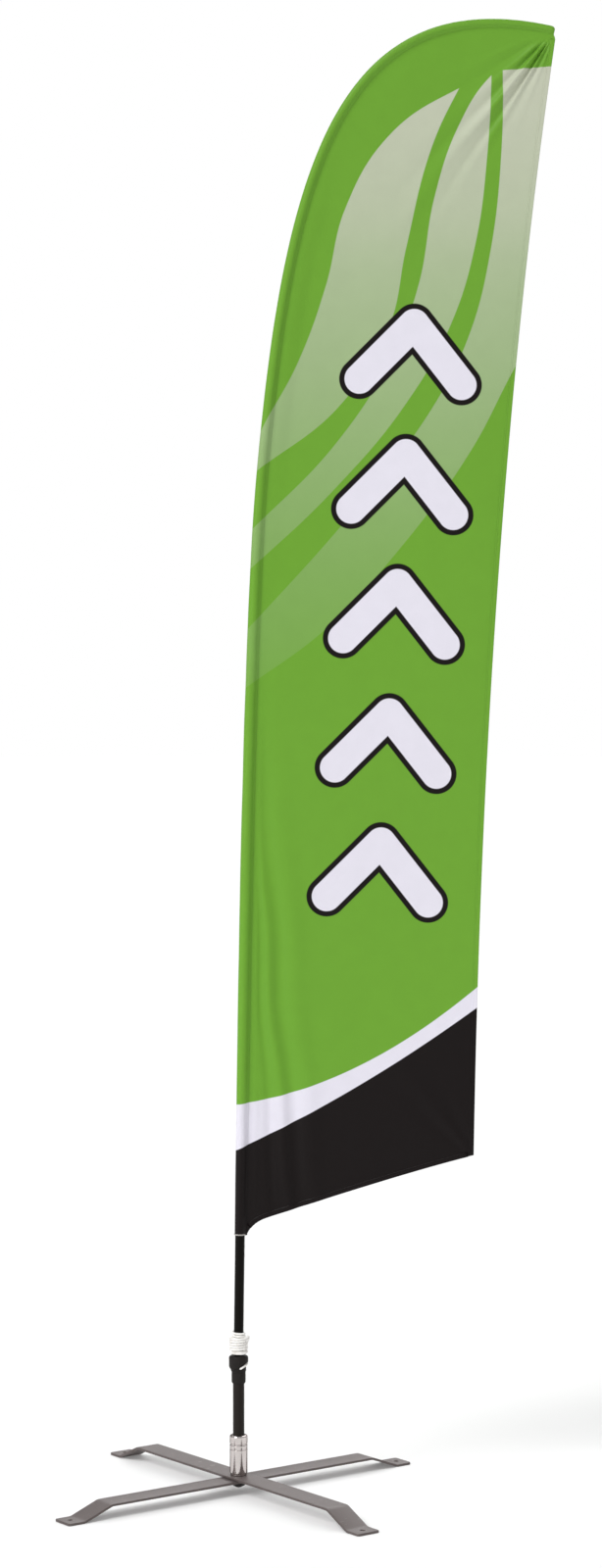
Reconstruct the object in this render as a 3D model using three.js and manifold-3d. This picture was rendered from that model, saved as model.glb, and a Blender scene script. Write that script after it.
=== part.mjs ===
// Bowed feather flag on a folding cross base: a printed sail on a three-section rod, tensioned by a
// cord, turning on a ball-bearing hub. Millimetres, +Z up. The origin is on the turning axis at
// floor level, the sail lies in the XZ plane and flies towards +X.

import * as THREE from "three";
import { mergeVertices } from "three/addons/utils/BufferGeometryUtils.js";
import Module from "manifold-3d";

const wasm = await Module();
wasm.setup();

// ---------------------------------------------------------------- driving dimensions

const GAP = 0.3; // clearance kept between neighbouring pieces

const BAR = {
  length: 800,
  width: 50,
  thickness: 4.5,
  rise: 22.5, // underside of the lower bar's raised middle
  crest: 95, // from each end to the top of the slope
  pad: 35, // flat foot at each end
  cornerRadius: 5,
  pegHoleRadius: 5,
  pegHoleFromEnd: 18,
  lowerYaw: 37.1, // degrees from +X
  upperYaw: -52.9,
};

const STUD_RADIUS = 5.8;
const STUD_HOLE_RADIUS = 6.2;
const WASHER = { radius: 13, thickness: 1.5 };
const FRICTION_WASHER = { radius: 16, thickness: 0.7 };
const NUT = {
  acrossFlats: 21,
  height: 7.5,
  domeHeight: 3.4,
  domeRadius: 9,
  domeShoulder: [7.2, 1.53], // radius and height above the dome's flat
  flatRadius: 3.5,
  blindDepth: 8.5,
};

const HUB = { radius: 16.7, height: 58, bore: 14.3, floor: 9, lipRadius: 15.6, lipHeight: 4 };
const STUD_CLEARANCE = 1; // below the inside of the hub's floor
const BEARING = { bore: 6.3, outer: 14, width: 8, innerRace: 7.7, outerRace: 12.7 };
const CAGE = { balls: 8, ballRadius: 2.2, web: 0.6, height: 3 };
const LOWER_BEARING_LIFT = 14; // above the housing's underside
const UPPER_BEARING_LIFT = 47;
const SPACER = { inner: 12.4, outer: 13.8 };

const SPINDLE = { journal: 6, shoulder: 7.1, spigot: 7.3, top: 290, nose: 4, groove: 5.2, end: 1.5 };
const CIRCLIP = { radius: 8, thickness: 1.2 };
const COLLAR = { radius: 16.9, height: 18.4, seat: 11.1, seatDepth: 5.6, edge: 2.6 };
const COLLAR_GROOVE = { depth: 0.9, height: 3 };

const FOOT_TUBE = { outer: 10.8, inner: 9.5 };
const FOOT_BUSH = { outer: 9.2, height: 36 };
const SLEEVE = { outer: 13.4, bottom: 209, chamfer: 2.2 };
const CLEAT = {
  bottom: 231,
  top: 261.5,
  radius: 18.3,
  waist: 14.2,
  edge: 4,
  chamfer: 1.2,
  neckHeight: 4,
  neckFlare: 0.8,
  ledgeHeight: 240, // of the hooked lower edge, on the turning axis
  ledgeSlope: 0.55, // how fast that edge rises towards +X
};

const ROD_TAIL = 150; // height at which the lowest rod section starts inside the foot tube
const RODS = [
  { name: "rod_section_lower", start: 0, end: 1020, outer: 9.1, tip: 9.1, wall: 1.5 },
  { name: "rod_section_middle", start: 920, end: 1960, outer: 7.2, tip: 7.2, wall: 1.8 },
  { name: "rod_section_top", start: 1860, end: 2925, outer: 5.1, tip: 3.6, wall: 1.6 },
];
const FERRULE = { length: 42, wall: 0.5 };
const TIP_CAP = { length: 16, wall: 0.9 };

const CLOTH = 0.8; // thickness of the sail panel
const POCKET_WALL = 0.6;
const SAIL_FOOT_HEIGHT = 491; // lower end of the pole pocket
const TIP_POCKET_LENGTH = 125;
const TIP_POCKET_OVERHANG = 6; // past the rod's cap
const HEM = { width: 9, thickness: 1.8 };
const EDGE_STEPS = 16; // along each free edge of the sail

const TAB = { width: 6, thickness: 1.4, length: 46 };
const TAB_LOOP = { radius: 5.2, hole: 3.4, drop: 14, rootLap: 0.9 };

const CORD_RADIUS = 2;
const CORD_PITCH = 4.9; // from one turn to the next
const INNER_TURNS = 8;
const CLIMB_TURNS = 0.5; // to step outwards, and again to climb clear of the foot of the winding
const CLIMB_HEIGHT = 5.5;
const OUTER_TURNS = 53 / 12;
const WINDING_TOP = 306.5;

const SIDES = { fine: 32, tube: 24, hidden: 20, small: 16, rod: 12, cord: 8, hole: 12 };
const MERGE_DISTANCE = 1e-3;
const HEADING_STEP = THREE.MathUtils.degToRad(4.5);
const LONGEST_STEP = 170;

// ---------------------------------------------------------------- heights that follow

const LOWER_BAR_TOP = BAR.rise + BAR.thickness;
const FRICTION_BOTTOM = LOWER_BAR_TOP + GAP;
const UPPER_BAR_BOTTOM = FRICTION_BOTTOM + FRICTION_WASHER.thickness + GAP;
const HUB_BOTTOM = UPPER_BAR_BOTTOM + BAR.thickness + GAP;
const HUB_TOP = HUB_BOTTOM + HUB.height;
const WASHER_TOP = BAR.rise - GAP;
const NUT_TOP = WASHER_TOP - WASHER.thickness - GAP;
const COLLAR_BOTTOM = HUB_TOP + GAP;
const COLLAR_TOP = COLLAR_BOTTOM + COLLAR.height;
const SEAT_HEIGHT = COLLAR_TOP - COLLAR.seatDepth;
const LOWER_BEARING = HUB_BOTTOM + LOWER_BEARING_LIFT;
const UPPER_BEARING = HUB_BOTTOM + UPPER_BEARING_LIFT;

// ---------------------------------------------------------------- materials

const finish = (color, roughness, metalness) => ({ color, roughness, metalness });
const LOOKS = {
  barPaint: finish(0x8a8280, 0.45, 0.4),
  chrome: finish(0xd8d4d2, 0.12, 1),
  steel: finish(0x9a9894, 0.35, 1),
  darkSteel: finish(0x2c2a2a, 0.4, 0.8),
  nylon: finish(0xd9d5c8, 0.5, 0),
  tubeBlack: finish(0x2a2624, 0.4, 0.1),
  rubberBlack: finish(0x1c1a19, 0.7, 0),
  cord: finish(0xe9e6e2, 0.8, 0),
  green: finish(0x70a63c, 0.75, 0),
  black: finish(0x211d1d, 0.75, 0),
};

const flag = new THREE.Group();

function addPiece(name, geometry, look) {
  const mesh = new THREE.Mesh(geometry, new THREE.MeshStandardMaterial(LOOKS[look]));
  mesh.name = name;
  flag.add(mesh);
  return mesh;
}

// ---------------------------------------------------------------- shape helpers

// A solid of revolution about Z from [radius, height] pairs, listed anticlockwise.
function revolve(profile, sides) {
  const points = profile.map(([radius, height]) => new THREE.Vector2(radius, height));
  return new THREE.LatheGeometry(points, sides).rotateX(Math.PI / 2);
}

// A ring of rectangular section.
function ring(inner, outer, bottom, top, sides) {
  return revolve([[inner, bottom], [outer, bottom], [outer, top], [inner, top], [inner, bottom]], sides);
}

function solidOf(geometry) {
  const bare = geometry.clone();
  bare.deleteAttribute("normal");
  bare.deleteAttribute("uv");
  const merged = mergeVertices(bare, MERGE_DISTANCE);
  const corners = merged.index.array;
  const kept = [];
  for (let i = 0; i < corners.length; i += 3) {
    const [a, b, c] = [corners[i], corners[i + 1], corners[i + 2]];
    if (a !== b && b !== c && c !== a) kept.push(a, b, c);
  }
  const mesh = new wasm.Mesh({
    numProp: 3,
    vertProperties: new Float32Array(merged.attributes.position.array),
    triVerts: new Uint32Array(kept),
  });
  return new wasm.Manifold(mesh);
}

function geometryOf(solid) {
  const mesh = solid.getMesh();
  const geometry = new THREE.BufferGeometry();
  geometry.setAttribute("position", new THREE.BufferAttribute(mesh.vertProperties, 3));
  geometry.setIndex(new THREE.BufferAttribute(mesh.triVerts, 1));
  const flat = geometry.toNonIndexed();
  flat.computeVertexNormals();
  return flat;
}

const cut = (geometry, ...tools) =>
  geometryOf(tools.reduce((solid, tool) => solid.subtract(solidOf(tool)), solidOf(geometry)));
const common = (a, b) => geometryOf(solidOf(a).intersect(solidOf(b)));
const fuse = (...pieces) =>
  geometryOf(pieces.map(solidOf).reduce((whole, piece) => whole.add(piece)));

// An outline in the XZ plane given thickness along Y, centred on Y = 0.
function plate(shape, thickness) {
  const geometry = new THREE.ExtrudeGeometry(shape, { depth: thickness, bevelEnabled: false, steps: 1 });
  return geometry.translate(0, 0, -thickness / 2).rotateX(Math.PI / 2);
}

const uprightCylinder = (radius, height, sides) =>
  new THREE.CylinderGeometry(radius, radius, height, sides).rotateX(Math.PI / 2);

// ---------------------------------------------------------------- the rod's bowed line

const at = (x, z) => new THREE.Vector3(x, 0, z);
const SPINDLE_TOP_POINT = at(0, SPINDLE.top);
const BOW_START = at(44, 1924);
const ROD_END = at(594, 2753);

const rodLine = new THREE.CurvePath();
rodLine.add(new THREE.LineCurve3(at(0, ROD_TAIL), SPINDLE_TOP_POINT));
rodLine.add(new THREE.CubicBezierCurve3(SPINDLE_TOP_POINT, at(5, 640), at(16, 1610), BOW_START));
rodLine.add(new THREE.CubicBezierCurve3(BOW_START, at(94, 2483), at(184, 2845), ROD_END));
rodLine.curves.forEach((curve) => (curve.arcLengthDivisions = 800));
const ROD_LINE_LENGTH = rodLine.getLength();

function exactHeading(s) {
  const tangent = rodLine.getTangentAt(Math.min(s / ROD_LINE_LENGTH, 1));
  return Math.atan2(tangent.x, tangent.z);
}

// Stations along the rod, closer together where it bends more. Every piece on the rod shares them.
function rodStations() {
  const list = [0, SPINDLE.top - ROD_TAIL];
  const probe = 5;
  for (let s = list[1] + probe; s < ROD_LINE_LENGTH - probe; s += probe) {
    const last = list[list.length - 1];
    const turned = Math.abs(exactHeading(s) - exactHeading(last));
    if (turned > HEADING_STEP || s - last > LONGEST_STEP) list.push(s);
  }
  list.push(ROD_LINE_LENGTH);
  return list.map((s) => ({ s, point: rodLine.getPointAt(s / ROD_LINE_LENGTH), heading: exactHeading(s) }));
}

const STATIONS = rodStations();

// Point and heading at a distance along the rod, straight on past its end.
function onRod(s) {
  const found = STATIONS.findIndex((station) => station.s >= s);
  const next = found < 0 ? STATIONS.length - 1 : Math.max(found, 1);
  const [a, b] = [STATIONS[next - 1], STATIONS[next]];
  if (s > b.s) {
    const beyond = s - b.s;
    const x = b.point.x + beyond * Math.sin(b.heading);
    return { point: at(x, b.point.z + beyond * Math.cos(b.heading)), heading: b.heading };
  }
  const share = (s - a.s) / (b.s - a.s);
  const heading = THREE.MathUtils.lerp(a.heading, b.heading, share);
  return { point: a.point.clone().lerp(b.point, share), heading };
}

// The distances at which a piece from start to end has a ring of corners.
function stations(start, end) {
  const clear = 1;
  const between = STATIONS.map((station) => station.s).filter((s) => s > start + clear && s < end - clear);
  return [start, ...between, end];
}

// Bends a straight piece built along Z, where Z is the distance along the rod.
function bendAlongRod(geometry) {
  const position = geometry.attributes.position;
  for (let i = 0; i < position.count; i++) {
    const { point, heading } = onRod(position.getZ(i));
    const across = position.getX(i);
    const x = point.x + across * Math.cos(heading);
    const z = point.z - across * Math.sin(heading);
    position.setXYZ(i, x, position.getY(i), z);
  }
  geometry.computeVertexNormals();
  return geometry;
}

// A tube along the rod with a radius and a bore that are functions of the distance along it.
function rodTube(start, end, outerAt, innerAt, sides) {
  const along = stations(start, end);
  const profile = along.map((s) => [outerAt(s), s]);
  const back = along.map((s) => [innerAt(s), s]).reverse();
  return bendAlongRod(revolve([...profile, ...back, profile[0]], sides));
}

// Straight lines through [distance, value] pairs.
function through(pairs) {
  return (s) => {
    const next = pairs.findIndex(([distance]) => distance >= s);
    if (next === 0) return pairs[0][1];
    if (next < 0) return pairs[pairs.length - 1][1];
    const [s0, v0] = pairs[next - 1];
    const [s1, v1] = pairs[next];
    return v0 + ((v1 - v0) * (s - s0)) / (s1 - s0);
  };
}

// ---------------------------------------------------------------- cross base

// A flat strip bent through the given [distance, height] points, which are its underside.
function bentStrip(underside, thickness) {
  const top = underside.map((point, i) => {
    const before = underside[Math.max(i - 1, 0)];
    const after = underside[Math.min(i + 1, underside.length - 1)];
    const into = Math.atan2(point[1] - before[1], point[0] - before[0] || 1);
    const out = Math.atan2(after[1] - point[1], after[0] - point[0] || 1);
    const first = i === 0 ? out : into;
    const last = i === underside.length - 1 ? into : out;
    const middle = (first + last) / 2;
    const reach = thickness / Math.cos((last - first) / 2);
    return [point[0] - reach * Math.sin(middle), point[1] + reach * Math.cos(middle)];
  });
  return new THREE.Shape([...underside, ...top.reverse()].map(([x, z]) => new THREE.Vector2(x, z)));
}

function baseBar(undersideHeight, yaw) {
  const half = BAR.length / 2;
  const crest = half - BAR.crest;
  const pad = half - BAR.pad;
  const middle = [[-crest, undersideHeight], [crest, undersideHeight]];
  const underside = [[-half, 0], [-pad, 0], ...middle, [pad, 0], [half, 0]];
  const strip = plate(bentStrip(underside, BAR.thickness), BAR.width);

  const r = BAR.cornerRadius;
  const outline = new THREE.Shape();
  const [x, y] = [half, BAR.width / 2];
  outline.moveTo(-x + r, -y).lineTo(x - r, -y).absarc(x - r, -y + r, r, -Math.PI / 2, 0);
  outline.lineTo(x, y - r).absarc(x - r, y - r, r, 0, Math.PI / 2);
  outline.lineTo(-x + r, y).absarc(-x + r, y - r, r, Math.PI / 2, Math.PI);
  outline.lineTo(-x, -y + r).absarc(-x + r, -y + r, r, Math.PI, 1.5 * Math.PI);
  const tall = undersideHeight + 4 * BAR.thickness;
  const blank = new THREE.ExtrudeGeometry(outline, { depth: tall, bevelEnabled: false, curveSegments: 4 });
  blank.translate(0, 0, -BAR.thickness);

  const pegHole = (side) =>
    uprightCylinder(BAR.pegHoleRadius, tall, SIDES.hole).translate(side * (half - BAR.pegHoleFromEnd), 0, 0);
  const studHole = uprightCylinder(STUD_HOLE_RADIUS, tall, SIDES.hidden).translate(0, 0, undersideHeight);
  const bar = cut(common(strip, blank), pegHole(-1), pegHole(1), studHole);
  return bar.rotateZ(THREE.MathUtils.degToRad(yaw));
}

addPiece("lower_base_bar", baseBar(BAR.rise, BAR.lowerYaw), "barPaint");
addPiece("upper_base_bar", baseBar(UPPER_BAR_BOTTOM, BAR.upperYaw), "barPaint");

const frictionTop = FRICTION_BOTTOM + FRICTION_WASHER.thickness;
addPiece(
  "bar_friction_washer",
  ring(STUD_HOLE_RADIUS, FRICTION_WASHER.radius, FRICTION_BOTTOM, frictionTop, SIDES.hidden),
  "nylon"
);
addPiece(
  "stud_washer",
  ring(STUD_HOLE_RADIUS, WASHER.radius, WASHER_TOP - WASHER.thickness, WASHER_TOP, SIDES.hidden),
  "darkSteel"
);

// A domed hexagon nut, its dome downwards and its blind thread open at the top.
function domeNut() {
  const hexRadius = NUT.acrossFlats / 2 / Math.cos(Math.PI / 6);
  const hexBottom = NUT_TOP - NUT.height;
  const hexagon = uprightCylinder(hexRadius, NUT.height, 6).translate(0, 0, NUT_TOP - NUT.height / 2);
  const domeBottom = hexBottom - NUT.domeHeight;
  const [shoulderRadius, shoulderHeight] = NUT.domeShoulder;
  const domeTop = hexBottom + NUT.height / 2;
  const dome = revolve(
    [[0, domeBottom], [NUT.flatRadius, domeBottom], [shoulderRadius, domeBottom + shoulderHeight],
      [NUT.domeRadius, hexBottom], [NUT.domeRadius, domeTop], [0, domeTop]],
    SIDES.hidden
  );
  const thread = uprightCylinder(STUD_HOLE_RADIUS, 2 * NUT.blindDepth, SIDES.hidden);
  return cut(fuse(hexagon, dome), thread.translate(0, 0, NUT_TOP));
}

addPiece("hub_dome_nut", domeNut(), "darkSteel");

const studBottom = NUT_TOP - NUT.blindDepth + GAP;
const studTop = HUB_BOTTOM + HUB.floor - STUD_CLEARANCE;
const studHeight = studTop - studBottom;
addPiece(
  "hub_stud",
  uprightCylinder(STUD_RADIUS, studHeight, SIDES.hidden).translate(0, 0, studBottom + studHeight / 2),
  "steel"
);

// ---------------------------------------------------------------- bearing hub

// A turned cup, open at the top, with a stepped foot and a stud hole in its floor.
function hubHousing() {
  const foot = HUB_BOTTOM;
  const floor = foot + HUB.floor;
  const lip = foot + HUB.lipHeight;
  const chamfer = HUB.radius - HUB.lipRadius;
  return revolve(
    [[STUD_HOLE_RADIUS, foot], [HUB.lipRadius - chamfer, foot], [HUB.lipRadius, foot + chamfer],
      [HUB.lipRadius, lip], [HUB.radius, lip + chamfer], [HUB.radius, HUB_TOP - chamfer / 2],
      [HUB.radius - chamfer / 2, HUB_TOP], [HUB.bore, HUB_TOP], [HUB.bore, floor],
      [STUD_HOLE_RADIUS, floor], [STUD_HOLE_RADIUS, foot]],
    SIDES.fine
  );
}

addPiece("hub_housing", hubHousing(), "chrome");

// The cage and its balls, which roll together between the two rings.
function ballCage(bottom) {
  const middle = bottom + BEARING.width / 2;
  const pitch = (BEARING.innerRace + BEARING.outerRace) / 2;
  const [bottomEdge, topEdge] = [middle - CAGE.height / 2, middle + CAGE.height / 2];
  const pieces = [ring(pitch - CAGE.web, pitch + CAGE.web, bottomEdge, topEdge, SIDES.small)];
  for (let i = 0; i < CAGE.balls; i++) {
    const angle = (2 * Math.PI * i) / CAGE.balls;
    const ball = new THREE.SphereGeometry(CAGE.ballRadius, 8, 6);
    pieces.push(ball.translate(pitch * Math.cos(angle), pitch * Math.sin(angle), middle));
  }
  return fuse(...pieces);
}

for (const [place, bottom] of [["lower", LOWER_BEARING], ["upper", UPPER_BEARING]]) {
  const top = bottom + BEARING.width;
  const outerRing = ring(BEARING.outerRace, BEARING.outer, bottom, top, SIDES.hidden);
  const innerRing = ring(BEARING.bore, BEARING.innerRace, bottom, top, SIDES.hidden);
  addPiece(`${place}_bearing_outer_ring`, outerRing, "steel");
  addPiece(`${place}_bearing_inner_ring`, innerRing, "steel");
  addPiece(`${place}_bearing_ball_cage`, ballCage(bottom), "steel");
}

const spacerBottom = LOWER_BEARING + BEARING.width + GAP;
addPiece(
  "bearing_spacer",
  ring(SPACER.inner, SPACER.outer, spacerBottom, UPPER_BEARING - GAP, SIDES.hidden),
  "steel"
);

// The shaft that turns in the bearings and goes up inside the rod.
function spindle() {
  const clipBottom = LOWER_BEARING - 2 * GAP - CIRCLIP.thickness;
  const clipTop = LOWER_BEARING - GAP;
  const bottom = clipBottom - SPINDLE.end;
  const shoulder = UPPER_BEARING + BEARING.width + GAP;
  return revolve(
    [[0, bottom], [SPINDLE.journal, bottom], [SPINDLE.journal, clipBottom], [SPINDLE.groove, clipBottom],
      [SPINDLE.groove, clipTop], [SPINDLE.journal, clipTop], [SPINDLE.journal, shoulder],
      [SPINDLE.shoulder, shoulder], [SPINDLE.shoulder, SEAT_HEIGHT], [SPINDLE.spigot, SEAT_HEIGHT],
      [SPINDLE.spigot, SPINDLE.top - SPINDLE.nose], [SPINDLE.spigot - SPINDLE.nose / 2, SPINDLE.top],
      [0, SPINDLE.top]],
    SIDES.hidden
  );
}

addPiece("spindle", spindle(), "steel");
const circlipBottom = LOWER_BEARING - GAP - CIRCLIP.thickness;
addPiece(
  "spindle_circlip",
  ring(SPINDLE.groove + GAP, CIRCLIP.radius, circlipBottom, LOWER_BEARING - 2 * GAP, SIDES.hidden),
  "darkSteel"
);

// The polished cap that turns with the spindle and holds the foot of the pole in its seat.
function rotorCollar() {
  const bore = SPINDLE.shoulder + GAP;
  const groove = COLLAR_BOTTOM + COLLAR_GROOVE.height;
  const [r, e, g] = [COLLAR.radius, COLLAR.edge, COLLAR_GROOVE.depth];
  return revolve(
    [[bore, COLLAR_BOTTOM], [r - g, COLLAR_BOTTOM], [r - g, groove - g], [r, groove],
      [r, COLLAR_TOP - e], [r - 0.3 * e, COLLAR_TOP - 0.3 * e], [r - e, COLLAR_TOP],
      [COLLAR.seat, COLLAR_TOP], [COLLAR.seat, SEAT_HEIGHT], [bore, SEAT_HEIGHT], [bore, COLLAR_BOTTOM]],
    SIDES.fine
  );
}

addPiece("rotor_collar", rotorCollar(), "chrome");

// ---------------------------------------------------------------- foot of the pole

const footBottom = SEAT_HEIGHT + GAP;
const footTop = CLEAT.bottom - GAP;
addPiece("foot_tube", ring(FOOT_TUBE.inner, FOOT_TUBE.outer, footBottom, footTop, SIDES.tube), "tubeBlack");
addPiece(
  "foot_tube_bush",
  ring(SPINDLE.spigot + GAP, FOOT_BUSH.outer, footBottom, footBottom + FOOT_BUSH.height, SIDES.hidden),
  "nylon"
);
addPiece(
  "foot_tube_sleeve",
  revolve(
    [[FOOT_TUBE.outer + GAP, SLEEVE.bottom], [SLEEVE.outer - SLEEVE.chamfer / 2, SLEEVE.bottom],
      [SLEEVE.outer, SLEEVE.bottom + SLEEVE.chamfer], [SLEEVE.outer, footTop],
      [FOOT_TUBE.outer + GAP, footTop], [FOOT_TUBE.outer + GAP, SLEEVE.bottom]],
    SIDES.tube
  ),
  "rubberBlack"
);

// ---------------------------------------------------------------- rod sections

RODS.forEach((rod, i) => {
  const outerAt = through([[rod.start, rod.outer], [rod.end, rod.tip]]);
  const innerAt = (s) => outerAt(s) - rod.wall;
  addPiece(rod.name, rodTube(rod.start, rod.end, outerAt, innerAt, SIDES.rod), "tubeBlack");

  if (i < RODS.length - 1) {
    const ferruleInner = () => rod.outer + GAP;
    const ferruleOuter = () => ferruleInner() + FERRULE.wall;
    const ferrule = rodTube(rod.end - FERRULE.length, rod.end, ferruleOuter, ferruleInner, SIDES.rod);
    addPiece(`${rod.name}_ferrule`, ferrule, "steel");
  }
});

// A rounded cap over the rod's end, open towards the rod.
const rodTop = RODS[RODS.length - 1];
const capInner = rodTop.tip + 2 * GAP;
const capOuter = capInner + TIP_CAP.wall;
const capFloor = rodTop.end + GAP;
const capEnd = capFloor + 3 * TIP_CAP.wall;
const capStart = rodTop.end - TIP_CAP.length;
addPiece(
  "rod_tip_cap",
  bendAlongRod(
    revolve(
      [[capInner, capStart], [capOuter, capStart], [capOuter, capFloor], [capOuter / 2, capEnd], [0, capEnd],
        [0, capFloor], [capInner, capFloor], [capInner, capStart]],
      SIDES.rod
    )
  ),
  "rubberBlack"
);

// ---------------------------------------------------------------- sail

// Distance along the rod at which the sail's pocket starts.
const POCKET_START = SAIL_FOOT_HEIGHT - ROD_TAIL;
const POCKET_END = rodTop.end - TIP_POCKET_LENGTH;
const TIP_POCKET_END = capEnd + TIP_POCKET_OVERHANG;
const pocketOuter = through([
  [POCKET_START, 10.3],
  [1030, 11],
  [1400, 10.4],
  [1970, 9.4],
  [POCKET_END, 7.2],
  [TIP_POCKET_END, 6.4],
]);
const pocketInner = (s) => pocketOuter(s) - POCKET_WALL;

const polePocket = rodTube(POCKET_START, POCKET_END, pocketOuter, pocketInner, SIDES.rod);
addPiece("sail_pole_pocket", polePocket, "green");

// The closed end of the pocket, which the bow pushes against.
function tipPocket() {
  const along = stations(POCKET_END + GAP, TIP_POCKET_END);
  const outside = along.map((s) => [pocketOuter(s), s]);
  const inside = along.slice(0, -1).map((s) => [pocketInner(s), s]);
  const floor = TIP_POCKET_END - POCKET_WALL;
  inside.push([pocketInner(floor), floor], [0, floor]);
  const apex = [0, TIP_POCKET_END];
  return bendAlongRod(revolve([apex, ...inside.reverse(), ...outside, apex], SIDES.rod));
}

addPiece("sail_tip_pocket", tipPocket(), "green");

// A point beside the rod's line, on the sail's side.
function besideRod(s, distance) {
  const { point, heading } = onRod(s);
  return [point.x + distance * Math.cos(heading), point.z - distance * Math.sin(heading)];
}

// The sail's free edges in the XZ plane, [x, z].
const HEAD = [592, 2738];
const CLEW = [444, 643];
const FOOT_END = [52, 524]; // where the lower edge turns down to the pocket
const FOOT_TURN = { toe: 2, bulge: 11 }; // the curve from there to the pocket's lower end
const edgeCurve = (...points) => new THREE.CubicBezierCurve(...points.map((p) => new THREE.Vector2(...p)));
const leech = edgeCurve(HEAD, [494, 2051], [455, 1347], CLEW);
const foot = edgeCurve(CLEW, [330, 615], [150, 556], FOOT_END);

// A folded hem along a free edge; inward is the way to the sail, [x, z].
function hem(curve, inward, trim) {
  const edge = [];
  for (let i = 0; i <= EDGE_STEPS; i++) edge.push(curve.getPointAt(trim + ((1 - trim) * i) / EDGE_STEPS));
  const inner = edge.map((p) => p.clone().add(new THREE.Vector2(...inward).multiplyScalar(HEM.width)));
  return plate(new THREE.Shape([...edge, ...inner.reverse()]), HEM.thickness);
}

const hemTrim = (HEM.width + 3 * GAP) / foot.getLength();
addPiece("sail_leech_hem", hem(leech, [-1, 0], 0), "green");
addPiece("sail_foot_hem", hem(foot, [0, 1], hemTrim), "black");

function sailPanel() {
  const inset = HEM.width + GAP;
  const luff = stations(POCKET_START, TIP_POCKET_END).map((s) => besideRod(s, pocketOuter(s) + GAP));
  const freeEdge = leech.getPoints(EDGE_STEPS).map((p) => [p.x - inset, p.y]);
  const lowEdge = foot.getPoints(EDGE_STEPS).map((p) => [p.x, p.y + inset]);
  const corner = [CLEW[0] - inset, CLEW[1] + inset];
  const [footX, footZ] = FOOT_END;
  const outline = new THREE.Shape();
  outline.moveTo(...luff[0]);
  luff.slice(1, -1).forEach((point) => outline.lineTo(...point));
  freeEdge.slice(0, -1).forEach((point) => outline.lineTo(...point));
  outline.lineTo(...corner);
  lowEdge.slice(1).forEach((point) => outline.lineTo(...point));
  outline.lineTo(footX - GAP, footZ + inset);
  outline.lineTo(footX - GAP, footZ);
  const [luffX, luffZ] = luff[0];
  outline.quadraticCurveTo(luffX + FOOT_TURN.bulge, footZ - FOOT_TURN.bulge, luffX + FOOT_TURN.toe, luffZ);
  return plate(outline, CLOTH);
}

addPiece("sail_panel", sailPanel(), "green");

// A webbing loop sewn to the back of the pocket's foot, which the cord pulls on.
const TAB_X = onRod(POCKET_START).point.x;
const TAB_BACK = pocketOuter(POCKET_START) + GAP;
const LOOP_Y = TAB_BACK + TAB_LOOP.radius - TAB_LOOP.rootLap;
const LOOP_Z = SAIL_FOOT_HEIGHT - TAB_LOOP.drop;

function tensionTab() {
  const strapBottom = LOOP_Z + 2;
  const strap = new THREE.BoxGeometry(TAB.width, TAB.thickness, TAB.length);
  strap.translate(TAB_X, TAB_BACK + TAB.thickness / 2, strapBottom + TAB.length / 2);
  const alongX = (radius, length) => {
    const cylinder = new THREE.CylinderGeometry(radius, radius, length, SIDES.small);
    return cylinder.rotateZ(Math.PI / 2).translate(TAB_X, LOOP_Y, LOOP_Z);
  };
  return cut(fuse(strap, alongX(TAB_LOOP.radius, TAB.width)), alongX(TAB_LOOP.hole, 2 * TAB.width));
}

addPiece("tension_tab", tensionTab(), "black");

// ---------------------------------------------------------------- cord and its cleat

// A ring on the rod, undercut so that the cord hooks below its raised side.
function cordCleat() {
  const inner = RODS[0].outer + GAP;
  const { bottom, top, radius, waist, edge, chamfer, ledgeHeight, ledgeSlope } = CLEAT;
  const body = revolve(
    [[inner, bottom], [waist - chamfer, bottom], [waist, bottom + chamfer],
      [waist + CLEAT.neckFlare, bottom + CLEAT.neckHeight], [radius, ledgeHeight], [radius, top - edge],
      [radius - 0.3 * edge, top - 0.3 * edge], [radius - edge, top], [inner, top], [inner, bottom]],
    SIDES.tube
  );
  const undercut = ring(waist, 2 * radius, bottom - top, 0, SIDES.tube);
  const slope = new THREE.Matrix4().set(1, 0, 0, 0, 0, 1, 0, 0, ledgeSlope, 0, 1, ledgeHeight, 0, 0, 0, 1);
  return cut(body, undercut.applyMatrix4(slope));
}

addPiece("cord_cleat", cordCleat(), "rubberBlack");

const polar = (radius, degrees, z) => {
  const angle = THREE.MathUtils.degToRad(degrees);
  return new THREE.Vector3(radius * Math.cos(angle), radius * Math.sin(angle), z);
};

const INNER_RADIUS = RODS[0].outer + CORD_RADIUS + 2 * GAP;
const OUTER_RADIUS = INNER_RADIUS + 2 * CORD_RADIUS + 2 * GAP;
const TAIL_RADIUS = OUTER_RADIUS + 2 * CORD_RADIUS + GAP;
const LEDGE_RADIUS = CLEAT.waist + CORD_RADIUS + 2 * GAP;
const POINTS_PER_TURN = 12;

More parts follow.
